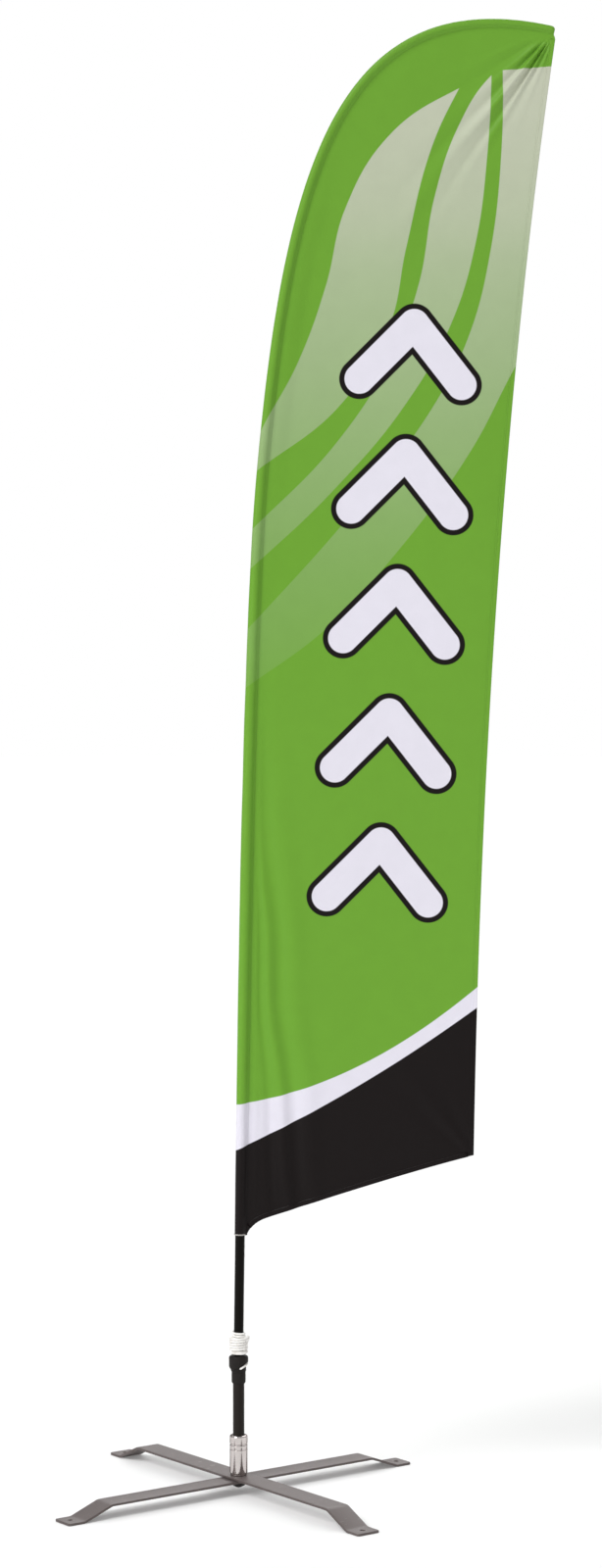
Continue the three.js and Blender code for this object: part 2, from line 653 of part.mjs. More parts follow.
// The cord's route: tied through the tab, down behind the rod, wound inwards then outwards, down
// over the winding and round under the cleat's ledge.
function cordRoute() {
  const tie = (x, y, z) => new THREE.Vector3(TAB_X + x, LOOP_Y + y, LOOP_Z + z);
  const runY = RODS[0].outer + CORD_RADIUS + 3 * GAP;
  const route = [
    tie(-0.5, 5.2, -40), tie(-1.5, 4.8, -32), tie(-5, 2.4, -20), tie(-7, 0.4, -9), tie(-5, 0, -1),
    tie(0, 0, 0), tie(5, 0, -1), tie(7, 0, -9), tie(5.2, 0, -20), tie(1.2, 0, -34),
    new THREE.Vector3(2, runY + 1, 420), new THREE.Vector3(1.2, runY, 370),
    new THREE.Vector3(0.5, runY, 325), polar(INNER_RADIUS, 88, 314),
  ];
  const wind = (turns, startAngle, startHeight, rise, radiusAt) => {
    for (let i = 0; i <= Math.round(turns * POINTS_PER_TURN); i++) {
      const turn = i / POINTS_PER_TURN;
      route.push(polar(radiusAt(turn), startAngle + 360 * turn, startHeight + rise * turn));
    }
  };
  const innerBottom = WINDING_TOP - INNER_TURNS * CORD_PITCH;
  const outerBottom = innerBottom + 1;
  const stepOut = (turn) => THREE.MathUtils.lerp(INNER_RADIUS, OUTER_RADIUS, turn / CLIMB_TURNS);
  wind(INNER_TURNS, 100, WINDING_TOP, -CORD_PITCH, () => INNER_RADIUS);
  wind(CLIMB_TURNS, 130, innerBottom, 0, stepOut);
  wind(CLIMB_TURNS, 340, outerBottom, CLIMB_HEIGHT / CLIMB_TURNS, () => OUTER_RADIUS);
  wind(OUTER_TURNS, 190, outerBottom + CLIMB_HEIGHT + 0.4, CORD_PITCH, () => OUTER_RADIUS);

  route.push(polar(TAIL_RADIUS - 2.4, 366, 297.5), polar(TAIL_RADIUS, 384, 293.5));
  route.push(polar(TAIL_RADIUS, 400, 283), polar(TAIL_RADIUS, 415, 271));
  route.push(polar(TAIL_RADIUS, 428, 258), polar(TAIL_RADIUS, 436, 247));
  route.push(polar(TAIL_RADIUS - 0.6, 438, 240), polar(LEDGE_RADIUS + 1.6, 430, 236.6));
  for (let angle = 415; angle >= 272; angle -= 20) {
    const x = LEDGE_RADIUS * Math.cos(THREE.MathUtils.degToRad(angle));
    const height = CLEAT.ledgeHeight + CLEAT.ledgeSlope * x - CORD_RADIUS - 4 * GAP;
    route.push(polar(LEDGE_RADIUS, angle, height));
  }
  return new THREE.CatmullRomCurve3(route, false, "centripetal");
}

function cordTube() {
  const route = cordRoute();
  route.arcLengthDivisions = 4000;
  const section = new THREE.Shape();
  section.absarc(0, 0, CORD_RADIUS, 0, 2 * Math.PI);
  const stepLength = 6.2;
  return new THREE.ExtrudeGeometry(section, {
    steps: Math.round(route.getLength() / stepLength),
    curveSegments: SIDES.cord / 2,
    extrudePath: route,
    bevelEnabled: false,
  });
}

addPiece("tension_cord", cordTube(), "cord");

export default flag;
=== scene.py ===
"""Looks of the bowed feather flag: printed sail, sectional rod, wound cord, bearing hub and cross base."""

import math

import bmesh
import bpy
from mathutils import Matrix, Vector, geometry, noise


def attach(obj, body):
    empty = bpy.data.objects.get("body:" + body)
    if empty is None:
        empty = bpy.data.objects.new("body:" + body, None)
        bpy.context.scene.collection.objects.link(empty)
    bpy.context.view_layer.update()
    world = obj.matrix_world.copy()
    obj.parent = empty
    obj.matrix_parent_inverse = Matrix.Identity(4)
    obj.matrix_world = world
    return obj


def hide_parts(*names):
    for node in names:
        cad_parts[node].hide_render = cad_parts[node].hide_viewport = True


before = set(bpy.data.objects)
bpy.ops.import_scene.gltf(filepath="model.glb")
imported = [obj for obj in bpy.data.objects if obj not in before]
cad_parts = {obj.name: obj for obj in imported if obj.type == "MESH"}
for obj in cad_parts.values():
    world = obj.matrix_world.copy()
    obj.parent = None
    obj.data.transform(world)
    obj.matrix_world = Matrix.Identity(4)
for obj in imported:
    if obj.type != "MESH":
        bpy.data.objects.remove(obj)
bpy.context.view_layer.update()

scene = bpy.context.scene

# ---------------------------------------------------------------- sizes shared with the CAD, in millimetres

MM = 0.001
GAP = 0.3

BAR_LENGTH = 800
BAR_WIDTH = 50
BAR_THICKNESS = 4.5
BAR_CREST = 95
BAR_PAD = 35
BAR_CORNER = 5
PEG_HOLE = 5
PEG_HOLE_FROM_END = 18
LOWER_BAR_RISE = 22.5
UPPER_BAR_RISE = 28.3
LOWER_BAR_YAW = 37.1
UPPER_BAR_YAW = -52.9
STUD_HOLE = 6.2

HUB_BOTTOM = 33.1
HUB_TOP = 91.1
COLLAR_BOTTOM = 91.4
COLLAR_TOP = 109.8
SEAT_HEIGHT = 104.2
SPINDLE_TOP = 290
TUBE_OUTER = 10.8
TUBE_INNER = 9.5
TUBE_BOTTOM = 104.5
TUBE_TOP = 230.7
SLEEVE_BOTTOM = 209
SLEEVE_OUTER = 13.4
CLEAT_BOTTOM = 231
CLEAT_TOP = 261.5
CLEAT_RADIUS = 18.3
CLEAT_WAIST = 14.2
LEDGE_HEIGHT = 240
LEDGE_SLOPE = 0.55

ROD_TAIL = 150
ROD_SECTIONS = {        # start and end along the rod, outer radius there, wall
    "rod_section_lower": (0, 1020, 9.1, 9.1, 1.5),
    "rod_section_middle": (920, 1960, 7.2, 7.2, 1.8),
    "rod_section_top": (1860, 2925, 5.1, 3.6, 1.6),
}
POCKET_START = 341
TIP_POCKET_END = 2934
POCKET_RADIUS = [(POCKET_START, 10.3), (1030, 11), (1400, 10.4), (1970, 9.4), (2800, 7.2),
                 (TIP_POCKET_END, 6.4)]
HEAD = (592, 2738)
CLEW = (444, 643)
FOOT_END = (52, 524)
LEECH_CURVE = [CLEW, (455, 1347), (494, 2051), HEAD]
FOOT_CURVE = [CLEW, (330, 615), (150, 556), FOOT_END]
HEM_WIDTH = 9

# ---------------------------------------------------------------- camera

CAMERA_PLACE = (0.1182, -6.6415, 1.6296)        # metres
CAMERA_DIP = 2.45                               # degrees below level


def add_object(name, data):
    obj = bpy.data.objects.new(name, data)
    scene.collection.objects.link(obj)
    return obj


def place_camera():
    camera = add_object("camera", bpy.data.cameras.new("camera"))
    camera.location = CAMERA_PLACE
    camera.rotation_euler = (math.radians(90 - CAMERA_DIP), 0, 0)
    camera.data.sensor_width = 36
    camera.data.lens = 81.07
    scene.camera = camera


place_camera()

# ---------------------------------------------------------------- curves


def lerp(a, b, t):
    return a + (b - a) * t


def smooth(t):
    """0 below 0, 1 above 1, and an S between them."""
    t = min(max(t, 0.0), 1.0)
    return t * t * (3 - 2 * t)


def through(pairs, s):
    """Straight lines through (distance, value) pairs."""
    for (s0, v0), (s1, v1) in zip(pairs, pairs[1:]):
        if s <= s1:
            return lerp(v0, v1, max(s - s0, 0) / (s1 - s0))
    return pairs[-1][1]


def bezier(points, t):
    """The point at t of a cubic Bezier curve in two dimensions."""
    a, b, c, d = points
    weights = ((1 - t) ** 3, 3 * t * (1 - t) ** 2, 3 * t * t * (1 - t), t ** 3)
    return tuple(sum(w * p[i] for w, p in zip(weights, (a, b, c, d))) for i in (0, 1))


def rounded(corners, steps=5):
    """A polyline whose corners (x, z, radius) are rounded; a radius of 0 keeps the corner."""
    line = []
    for i, (x, z, radius) in enumerate(corners):
        if radius == 0 or i in (0, len(corners) - 1):
            line.append((x, z))
            continue
        here = Vector((x, z))
        before = Vector(corners[i - 1][:2]) - here
        after = Vector(corners[i + 1][:2]) - here
        turn = math.pi - before.angle(after)
        reach = min(radius * math.tan(turn / 2), before.length / 2.01, after.length / 2.01)
        start = here + before.normalized() * reach
        end = here + after.normalized() * reach
        for k in range(steps + 1):
            t = k / steps
            point = start * (1 - t) ** 2 + here * 2 * t * (1 - t) + end * t * t
            line.append((point.x, point.y))
    return line


class Path:
    """A line in the XZ plane that can be asked for the point at a distance along it."""

    def __init__(self, points):
        self.points = [Vector(p) for p in points]
        self.along = [0.0]
        for a, b in zip(self.points, self.points[1:]):
            self.along.append(self.along[-1] + (b - a).length)
        self.length = self.along[-1]
        steps = [(b - a).normalized() for a, b in zip(self.points, self.points[1:])]
        self.ways = [(a + b).normalized() for a, b in zip([steps[0]] + steps, steps + [steps[-1]])]

    def at(self, s):
        """The point, and the unit vector along the path, at the distance s; straight on past the end."""
        if s >= self.length:
            return self.points[-1] + self.ways[-1] * (s - self.length), self.ways[-1]
        low, high = 0, len(self.along) - 1
        while high - low > 1:
            middle = (low + high) // 2
            if self.along[middle] <= s:
                low = middle
            else:
                high = middle
        t = (s - self.along[low]) / (self.along[high] - self.along[low])
        way = self.ways[low].lerp(self.ways[high], t).normalized()
        return self.points[low].lerp(self.points[high], t), way


def rod_path():
    lower = [(0, SPINDLE_TOP), (5, 640), (16, 1610), (44, 1924)]
    upper = [(44, 1924), (94, 2483), (184, 2845), (594, 2753)]
    count = 400
    points = [(0, ROD_TAIL)]
    for curve in (lower, upper):
        points += [bezier(curve, i / count) for i in range(0 if curve is lower else 1, count + 1)]
    return Path(points)


ROD = rod_path()

# ---------------------------------------------------------------- mesh building


def add_mesh(name, verts, faces, material, body, slot, sharp=35, replaces=()):
    """A closed, smooth shaded piece from points in millimetres."""
    mesh = bpy.data.meshes.new(name)
    mesh.from_pydata([Vector(v) * MM for v in verts], [], faces)
    shell = bmesh.new()
    shell.from_mesh(mesh)
    bmesh.ops.remove_doubles(shell, verts=shell.verts, dist=2e-7)
    bmesh.ops.dissolve_degenerate(shell, edges=shell.edges, dist=1e-8)
    bmesh.ops.recalc_face_normals(shell, faces=shell.faces)
    shell.to_mesh(mesh)
    shell.free()
    obj = add_object(name, mesh)
    finish_piece(obj, material, body, sharp, replaces)
    return obj


def finish_piece(obj, material, body, sharp, replaces):
    obj.data.shade_smooth()
    obj.data.set_sharp_from_angle(angle=math.radians(sharp))
    obj.data.materials.clear()
    obj.data.materials.append(material)
    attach(obj, body)
    if replaces:
        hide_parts(*replaces)


def apply_modifiers(obj):
    """Gives an object the mesh that its modifiers make."""
    bpy.context.view_layer.update()
    made = bpy.data.meshes.new_from_object(obj.evaluated_get(bpy.context.evaluated_depsgraph_get()))
    obj.modifiers.clear()
    obj.data = made


def loft(rows, wrap=False, close=False, caps=False):
    """Faces between rows of points: wrap joins each row's ends, close joins the last row to the first."""
    count = len(rows[0])
    verts = [point for row in rows for point in row]
    faces = []
    for i in range(len(rows) if close else len(rows) - 1):
        a, b = i * count, (i + 1) % len(rows) * count
        for j in range(count if wrap else count - 1):
            k = (j + 1) % count
            faces.append((a + j, a + k, b + k, b + j))
    if caps:
        faces.append(tuple(range(count)))
        faces.append(tuple(range(len(verts) - count, len(verts))))
    return verts, faces


def join(shapes):
    """One list of points and faces from many."""
    verts, faces = [], []
    for more_verts, more_faces in shapes:
        start = len(verts)
        verts += more_verts
        faces += [tuple(start + i for i in face) for face in more_faces]
    return verts, faces


def around(sides):
    """Evenly spaced angles of one turn."""
    return [2 * math.pi * j / sides for j in range(sides)]


def revolve(profile, sides, reach=lambda radius, z, angle: radius):
    """A solid of revolution about Z; the profile is closed, or starts and ends on the axis."""
    closed = profile[0] == profile[-1]
    rings = []
    for radius, z in profile[:-1] if closed else profile:
        ring = []
        for angle in around(sides):
            r = reach(radius, z, angle)
            ring.append((r * math.cos(angle), r * math.sin(angle), z))
        rings.append(ring)
    return loft(rings, wrap=True, close=closed)


def ring_of_points(centre, across, upward, radius_at, sides):
    """Points round a centre, each radius_at(its angle) from it."""
    ring = []
    for angle in around(sides):
        r = radius_at(angle)
        ring.append(centre + across * (r * math.cos(angle)) + upward * (r * math.sin(angle)))
    return ring


# ---------------------------------------------------------------- material kit


def srgb(red, green, blue):
    """A linear colour from 8-bit display values."""
    linear = []
    for value in (red, green, blue):
        c = value / 255
        linear.append(c / 12.92 if c <= 0.04045 else ((c + 0.055) / 1.055) ** 2.4)
    return (*linear, 1)


def set_input(tree, plug, value):
    """Links a field or a socket to an input, or sets the input's own value."""
    if isinstance(value, Field):
        value = value.socket
    if isinstance(value, bpy.types.NodeSocket):
        tree.links.new(value, plug)
    else:
        plug.default_value = value


def add_node(tree, kind, **inputs):
    """A shader node with its inputs set; an underscore stands for a space in an input's name."""
    node = tree.nodes.new("ShaderNode" + kind)
    for name, value in inputs.items():
        set_input(tree, node.inputs[name.replace("_", " ")], value)
    return node


def scaled(tree, vector, amount):
    """The socket of a vector or colour multiplied by a number or a field."""
    node = add_node(tree, "VectorMath")
    node.operation = "SCALE"
    set_input(tree, node.inputs[0], vector)
    set_input(tree, node.inputs["Scale"], amount)
    return node.outputs[0]


class Field:
    """A number that varies over a surface: Python's operators on it make Math nodes."""

    def __init__(self, tree, socket):
        self.tree = tree
        self.socket = socket

    def math(self, operation, *others, clamp=False):
        node = add_node(self.tree, "Math")
        node.operation = operation
        node.use_clamp = clamp
        for plug, value in zip(node.inputs, (self, *others)):
            set_input(self.tree, plug, value)
        return Field(self.tree, node.outputs[0])

    def __add__(self, other):
        return self.math("ADD", other)

    def __sub__(self, other):
        return self.math("SUBTRACT", other)

    def __rsub__(self, other):
        return self.math("MULTIPLY_ADD", -1.0, other)

    def __mul__(self, other):
        return self.math("MULTIPLY", other)

    def __truediv__(self, other):
        return self.math("DIVIDE", other)

    def step(self, low, high):
        """0 below low and 1 above high, with a soft change between them."""
        node = add_node(self.tree, "MapRange", Value=self, From_Min=low, From_Max=high)
        node.interpolation_type = "SMOOTHSTEP"
        return Field(self.tree, node.outputs[0])

    def curve(self, points, low, high, base, span):
        """A smooth function through (field, value) points; its values lie between base and base + span."""
        node = add_node(self.tree, "FloatCurve", Value=(self - low) / (high - low))
        knots = node.mapping.curves[0].points
        while len(knots) < len(points):
            knots.new(0.5, 0.5)
        for knot, (x, y) in zip(knots, sorted(points)):
            knot.location = ((x - low) / (high - low), (y - base) / span)
        node.mapping.update()
        return Field(self.tree, node.outputs[0]) * span + base


class Look:
    """A material under construction: one Principled shader, with fields and colours fed to it."""

    def __init__(self, name, **sockets):
        self.material = bpy.data.materials.new(name)
        self.material.use_nodes = True
        self.tree = self.material.node_tree
        self.shader = self.tree.nodes["Principled BSDF"]
        self.place = scaled(self.tree, add_node(self.tree, "TexCoord").outputs["Object"], 1 / MM)
        for socket, value in sockets.items():
            self.feed(socket.replace("_", " "), value)

    def axes(self):
        """X, Y and Z in millimetres."""
        split = add_node(self.tree, "SeparateXYZ", Vector=self.place)
        return [Field(self.tree, output) for output in split.outputs]

    def noise(self, size, detail=3.0, stretch=(1, 1, 1)):
        """Noise with features of about size millimetres, longer along the axes that stretch names."""
        spread = add_node(self.tree, "Mapping", Vector=self.place, Scale=[1 / (size * s) for s in stretch])
        node = add_node(self.tree, "TexNoise", Vector=spread.outputs[0], Scale=1.0, Detail=detail)
        return Field(self.tree, node.outputs["Factor"] if "Factor" in node.outputs else node.outputs[0])

    def edge_wear_and_crevice_shade_mask(self, low, high):
        """1 on convex edges and 0 elsewhere: the paint's worn edges, and, where it is 0, the braid's hollows,
        which get painted shade.
        """
        surface = add_node(self.tree, "NewGeometry")
        return Field(self.tree, surface.outputs["Pointiness"]).step(low, high)

    def colour(self, rgba):
        node = add_node(self.tree, "RGB")
        node.outputs[0].default_value = rgba
        return node.outputs[0]

    def mix(self, share, first, second):
        """A colour socket: first where share is 0, second where it is 1."""
        node = add_node(self.tree, "Mix")
        node.data_type = "RGBA"
        colours = [plug for plug in node.inputs if plug.type == "RGBA"]
        for plug, value in zip([node.inputs[0], *colours], (share, first, second)):
            set_input(self.tree, plug, value)
        return [plug for plug in node.outputs if plug.type == "RGBA"][0]

    def shade(self, colour, amount):
        """The colour made brighter or darker by a field near 1."""
        return scaled(self.tree, colour, amount)

    def feed(self, socket, value):
        set_input(self.tree, self.shader.inputs[socket], value)

    def bump(self, height, depth):
        """Relief of depth millimetres where height goes from 0 to 1."""
        node = add_node(self.tree, "Bump", Strength=1.0, Distance=depth * MM, Height=height)
        self.feed("Normal", node.outputs[0])


# ---------------------------------------------------------------- materials

GREEN = srgb(107, 161, 49)
PALE = srgb(192, 196, 176)
PRINT_WHITE = srgb(225, 222, 233)
PRINT_BLACK = srgb(16, 9, 9)


def weave(look, pitch):
    """Height of a plain weave in the XZ plane."""
    x, y, z = look.axes()
    turn = 2 * math.pi / pitch
    warp = ((x + y) * turn).math("SINE")
    weft = (z * turn).math("SINE")
    return warp * weft * 0.5 + 0.5


INK_EDGE = 0.9          # half the width over which one colour of the print changes to the next
BAND_BOTTOM = 1350
BAND_TOP = 2700

# The pale bands' left and right edges, as (height, x) points.
PALE_BANDS = [
    ([(BAND_BOTTOM, -260), (1860, -20), (2005, 42), (2135, 112), (2280, 165), (2420, 200), (2555, 280),
      (2645, 412), (BAND_TOP, 560)],
     [(BAND_BOTTOM, -290), (1850, -75), (1935, 38), (2060, 195), (2205, 284), (2350, 315), (2535, 362),
      (2645, 413), (BAND_TOP, 445)]),
    ([(BAND_BOTTOM, -280), (1740, -60), (1825, 28), (1990, 188), (2145, 287), (2280, 338), (2445, 368),
      (2575, 412), (2668, 472), (BAND_TOP, 520)],
     [(BAND_BOTTOM, -290), (1670, -65), (1750, 24), (1897, 179), (2062, 317), (2210, 400), (2355, 444),
      (2520, 466), (BAND_TOP, 474)]),
    ([(BAND_BOTTOM, -250), (1540, -75), (1640, 21), (1880, 235), (2062, 371), (2190, 434), (2335, 471),
      (2520, 492), (BAND_TOP, 494)],
     [(BAND_BOTTOM, -240), (1530, 19), (1640, 168), (1770, 289), (1970, 436), (2125, 518), (2300, 620),
      (BAND_TOP, 760)]),
]
PALE_SHARE = [(BAND_BOTTOM, 0.0), (1520, 0.07), (1760, 0.18), (1960, 0.33), (2150, 0.5), (2300, 0.64),
              (2440, 0.84), (BAND_TOP, 1.0)]

CHEVRONS = 5
CHEVRON_BOTTOM = 1052
CHEVRON_PITCH = 243
CHEVRON_LEAN = 0.063
CHEVRON_X = 191
CHEVRON_TIP = 62        # above the middle of each chevron's stretch
CHEVRON_FOOT = (96, -46)
CHEVRON_STROKE = 28
CHEVRON_OUTLINE = 38


def printed(edge):
    """1 where a field is above 0, and 0 below it, with the ink's soft edge."""
    return edge.step(-INK_EDGE, INK_EDGE)


def pale_bands(x, z):
    """The share of pale ink: curved bands that fade out down the sail."""
    def edge(points, base=-300, span=1100):
        return z.curve(points, BAND_BOTTOM, BAND_TOP, base, span)

    bands = None
    for left, right in PALE_BANDS:
        band = printed(x - edge(left)) * printed(edge(right) - x)
        bands = band if bands is None else bands.math("MAXIMUM", band)
    under_head = printed(x * 0.08 + 2639 - z)
    return bands * under_head * edge(PALE_SHARE, 0.0, 1.0)


def chevrons(x, z):
    """The distance from the nearest chevron's middle line, and 1 where there are chevrons."""
    height = (z - CHEVRON_BOTTOM) / CHEVRON_PITCH
    inside = height.step(0.0, 0.002) * (CHEVRONS - height).step(0.0, 0.002)
    sideways = x - (z * CHEVRON_LEAN + CHEVRON_X)
    across = sideways.math("ABSOLUTE")
    up = (height.math("FRACT") - 0.5) * CHEVRON_PITCH - sideways * -CHEVRON_LEAN
    run_x, run_z = CHEVRON_FOOT[0], CHEVRON_FOOT[1] - CHEVRON_TIP
    drop = up - CHEVRON_TIP
    share = ((across * run_x + drop * run_z) / (run_x ** 2 + run_z ** 2)).math("ADD", 0.0, clamp=True)
    off_x = across - share * run_x
    off_z = drop - share * run_z
    return (off_x * off_x + off_z * off_z).math("SQRT"), inside


def print_design(look):
    """The sail's print: pale bands and a column of chevrons on green, a white swoosh over a black foot."""
    x, _, z = look.axes()
    colour = look.mix(pale_bands(x, z), look.colour(GREEN), PALE)
    distance, inside = chevrons(x, z)
    colour = look.mix(printed(CHEVRON_OUTLINE - distance) * inside, colour, PRINT_BLACK)
    colour = look.mix(printed(CHEVRON_STROKE - distance) * inside, colour, PRINT_WHITE)
    swoosh_top = x * x * 0.00078 + x * 0.14 + 740
    swoosh_bottom = x * x * 0.0003 + x * 0.46 + 655
    colour = look.mix(printed(swoosh_top - z), colour, PRINT_WHITE)
    return look.mix(printed(swoosh_bottom - z), colour, PRINT_BLACK)


def sail_look():
    look = Look("printed_polyester", Roughness=0.42, Specular_IOR_Level=0.16)
    ink = look.noise(35, 4.0) * 0.07 + 0.965
    cloth = weave(look, 0.7)
    look.feed("Base Color", look.shade(print_design(look), ink * (cloth * 0.05 + 0.975)))
    look.feed("Roughness", look.noise(60, 3.0) * 0.16 + 0.34)
    look.bump(cloth * 0.5 + look.noise(4, 3.0), 0.06)
    return look.material


def thread_look():
    """Thread that takes the print's colour, a little darker."""
    look = Look("printed_thread", Roughness=0.55, Specular_IOR_Level=0.15)
    look.feed("Base Color", look.shade(print_design(look), look.noise(1.5) * 0.3 + 0.68))
    look.bump(look.noise(0.4), 0.05)
    return look.material


def elastic_look():
    look = Look("grey_elastic", Roughness=0.7, Sheen_Weight=0.2)
    look.feed("Base Color", look.mix(look.noise(2.0), srgb(150, 146, 142), srgb(196, 192, 188)))
    look.bump(look.noise(0.5), 0.1)
    return look.material


def webbing_look():
    look = Look("black_webbing", Roughness=0.7, Sheen_Weight=0.2)
    ribs = weave(look, 1.3)
    look.feed("Base Color", look.mix(ribs, srgb(22, 20, 20), srgb(52, 48, 47)))
    look.bump(ribs, 0.15)
    return look.material


def cord_look():
    look = Look("white_braid", Roughness=0.72, Sheen_Weight=0.25, Sheen_Roughness=0.5)
    soil = look.noise(14, 4.0)
    colour = look.mix(soil.step(0.45, 0.75), srgb(250, 248, 245), srgb(226, 222, 216))
    # Painted shade: the braid turns grey (196, 190, 182) in its hollows, between its strands and between the
    # turns of the winding, where this mask is 0.
    dark = look.edge_wear_and_crevice_shade_mask(0.44, 0.5)
    look.feed("Base Color", look.mix(dark, srgb(196, 190, 182), colour))
    look.bump(look.noise(0.5, 2.0), 0.08)
    return look.material


def paint_look():
    """Grey satin paint on flat steel bar, rubbed at its edges."""
    look = Look("satin_grey_paint", Metallic=0.2, Specular_IOR_Level=0.3, Coat_Weight=0.08,
                Coat_Roughness=0.35)
    cloud = look.noise(90, 5.0)
    grit = look.noise(0.9, 3.0)
    colour = look.mix(cloud, srgb(88, 79, 78), srgb(103, 94, 92))
    scratch = look.noise(1.2, 5.0, stretch=(14, 14, 1)).step(0.63, 0.7) * 0.5
    colour = look.mix(scratch, colour, srgb(126, 119, 116))
    wear = look.edge_wear_and_crevice_shade_mask(0.53, 0.6) * look.noise(6, 4.0).step(0.4, 0.6)
    look.feed("Base Color", look.mix(wear * 0.8, colour, srgb(146, 139, 135)))
    look.feed("Roughness", cloud * 0.18 + grit * 0.12 + 0.36)
    look.bump(grit, 0.05)
    return look.material


def metal_look(name, dark, light, roughness, grain, **sockets):
    """Turned metal with fine tool marks round its axis."""
    look = Look(name, Metallic=1.0, **sockets)
    marks = look.noise(grain, 3.0, stretch=(30, 30, 1))
    smudge = look.noise(12, 4.0)
    look.feed("Base Color", look.mix(smudge, dark, light))
    look.feed("Roughness", marks * 0.08 + smudge * 0.08 + roughness)
    look.bump(marks, 0.01)
    return look.material


def plastic_look(name, dark, light, roughness, grain, **sockets):
    look = Look(name, **sockets)
    cloud = look.noise(25, 4.0)
    fine = look.noise(grain, 3.0)
    scuff = look.noise(2.5, 5.0, stretch=(1, 1, 6)).step(0.64, 0.72) * 0.35
    colour = look.mix(cloud, dark, light)
    pale = tuple(min(c * 2.2 + 0.01, 1.0) for c in light[:3]) + (1,)
    look.feed("Base Color", look.mix(scuff, colour, pale))
    look.feed("Roughness", cloud * 0.14 + fine * 0.1 + roughness)
    look.bump(fine, 0.03)
    return look.material


SAIL = sail_look()
THREAD = thread_look()
ELASTIC = elastic_look()
WEBBING = webbing_look()
CORD = cord_look()
PAINT = paint_look()
CHROME = metal_look("polished_nickel", srgb(196, 188, 186), srgb(214, 207, 205), 0.07, 0.5,
                    Specular_Tint=(0.3, 0.28, 0.27, 1))
STEEL = metal_look("turned_steel", srgb(150, 148, 145), srgb(186, 184, 180), 0.22, 0.35)
DARK_STEEL = metal_look("blackened_steel", srgb(38, 36, 36), srgb(62, 59, 58), 0.3, 0.5)
NYLON = plastic_look("nylon", srgb(206, 202, 190), srgb(226, 222, 210), 0.38, 0.8)
FIBREGLASS = plastic_look("black_fibreglass", srgb(9, 7, 4), srgb(15, 12, 9), 0.3, 0.6,
                          Specular_IOR_Level=0.09)
TUBE_BLACK = plastic_look("black_coated_tube", srgb(27, 22, 19), srgb(36, 31, 28), 0.34, 0.7,
                          Specular_IOR_Level=0.16)
RUBBER = plastic_look("moulded_black_rubber", srgb(24, 21, 20), srgb(36, 32, 30), 0.5, 0.5,
                      Specular_IOR_Level=0.2)

# ---------------------------------------------------------------- tension cord

CORD_RADIUS = 2
BRAID_SWELL = 0.15      # the braid's strands stand proud of its nominal size
CORD_PITCH = 4.9
INNER_TURNS = 8
CLIMB_TURNS = 0.5
CLIMB_HEIGHT = 5.5
OUTER_TURNS = 53 / 12
WINDING_TOP = 306.5
ROD_RADIUS = ROD_SECTIONS["rod_section_lower"][2]
TAB_X = 2.8
TAB_BACK = 10.6
LOOP_Y = 14.9
LOOP_Z = 477
INNER_RADIUS = ROD_RADIUS + CORD_RADIUS + 2 * GAP
OUTER_RADIUS = INNER_RADIUS + 2 * CORD_RADIUS + 2 * GAP
TAIL_RADIUS = OUTER_RADIUS + 2 * CORD_RADIUS + GAP
LEDGE_RADIUS = CLEAT_WAIST + CORD_RADIUS + 2 * GAP


def polar(radius, degrees, z):
    angle = math.radians(degrees)
    return Vector((radius * math.cos(angle), radius * math.sin(angle), z))


def cord_route():
    """Tied through the tab, down behind the rod, wound inwards then outwards, and round under the cleat."""
    points_per_turn = 12
    run_y = ROD_RADIUS + CORD_RADIUS + 3 * GAP

    def tie(x, y, z):
        return Vector((TAB_X + x, LOOP_Y + y, LOOP_Z + z))

    route = [
        tie(-0.5, 5.2, -40), tie(-1.5, 4.8, -32), tie(-5, 2.4, -20), tie(-7, 0.4, -9), tie(-5, 0, -1),
        tie(0, 0, 0), tie(5, 0, -1), tie(7, 0, -9), tie(5.2, 0, -20), tie(1.2, 0, -34),
        Vector((2, run_y + 1, 420)), Vector((1.2, run_y, 370)), Vector((0.5, run_y, 325)),
        polar(INNER_RADIUS, 88, 314),
    ]

    def wind(turns, start_angle, start_height, rise, radius_at):
        for i in range(round(turns * points_per_turn) + 1):
            turn = i / points_per_turn
            route.append(polar(radius_at(turn), start_angle + 360 * turn, start_height + rise * turn))

    inner_bottom = WINDING_TOP - INNER_TURNS * CORD_PITCH
    outer_bottom = inner_bottom + 1
    wind(INNER_TURNS, 100, WINDING_TOP, -CORD_PITCH, lambda turn: INNER_RADIUS)
    wind(CLIMB_TURNS, 130, inner_bottom, 0,
         lambda turn: lerp(INNER_RADIUS, OUTER_RADIUS, turn / CLIMB_TURNS))
    wind(CLIMB_TURNS, 340, outer_bottom, CLIMB_HEIGHT / CLIMB_TURNS, lambda turn: OUTER_RADIUS)
    wind(OUTER_TURNS, 190, outer_bottom + CLIMB_HEIGHT + 0.4, CORD_PITCH, lambda turn: OUTER_RADIUS)

    route += [polar(TAIL_RADIUS - 2.4, 366, 297.5), polar(TAIL_RADIUS, 384, 293.5)]
    for bearing, height in ((400, 283), (415, 271), (428, 258), (436, 247)):
        route.append(polar(TAIL_RADIUS, bearing, height))
    route += [polar(TAIL_RADIUS - 0.6, 438, 240), polar(LEDGE_RADIUS + 1.6, 430, 236.6)]
    for angle in range(415, 271, -20):
        x = LEDGE_RADIUS * math.cos(math.radians(angle))
        route.append(polar(LEDGE_RADIUS, angle, LEDGE_HEIGHT + LEDGE_SLOPE * x - CORD_RADIUS - 4 * GAP))
    return route


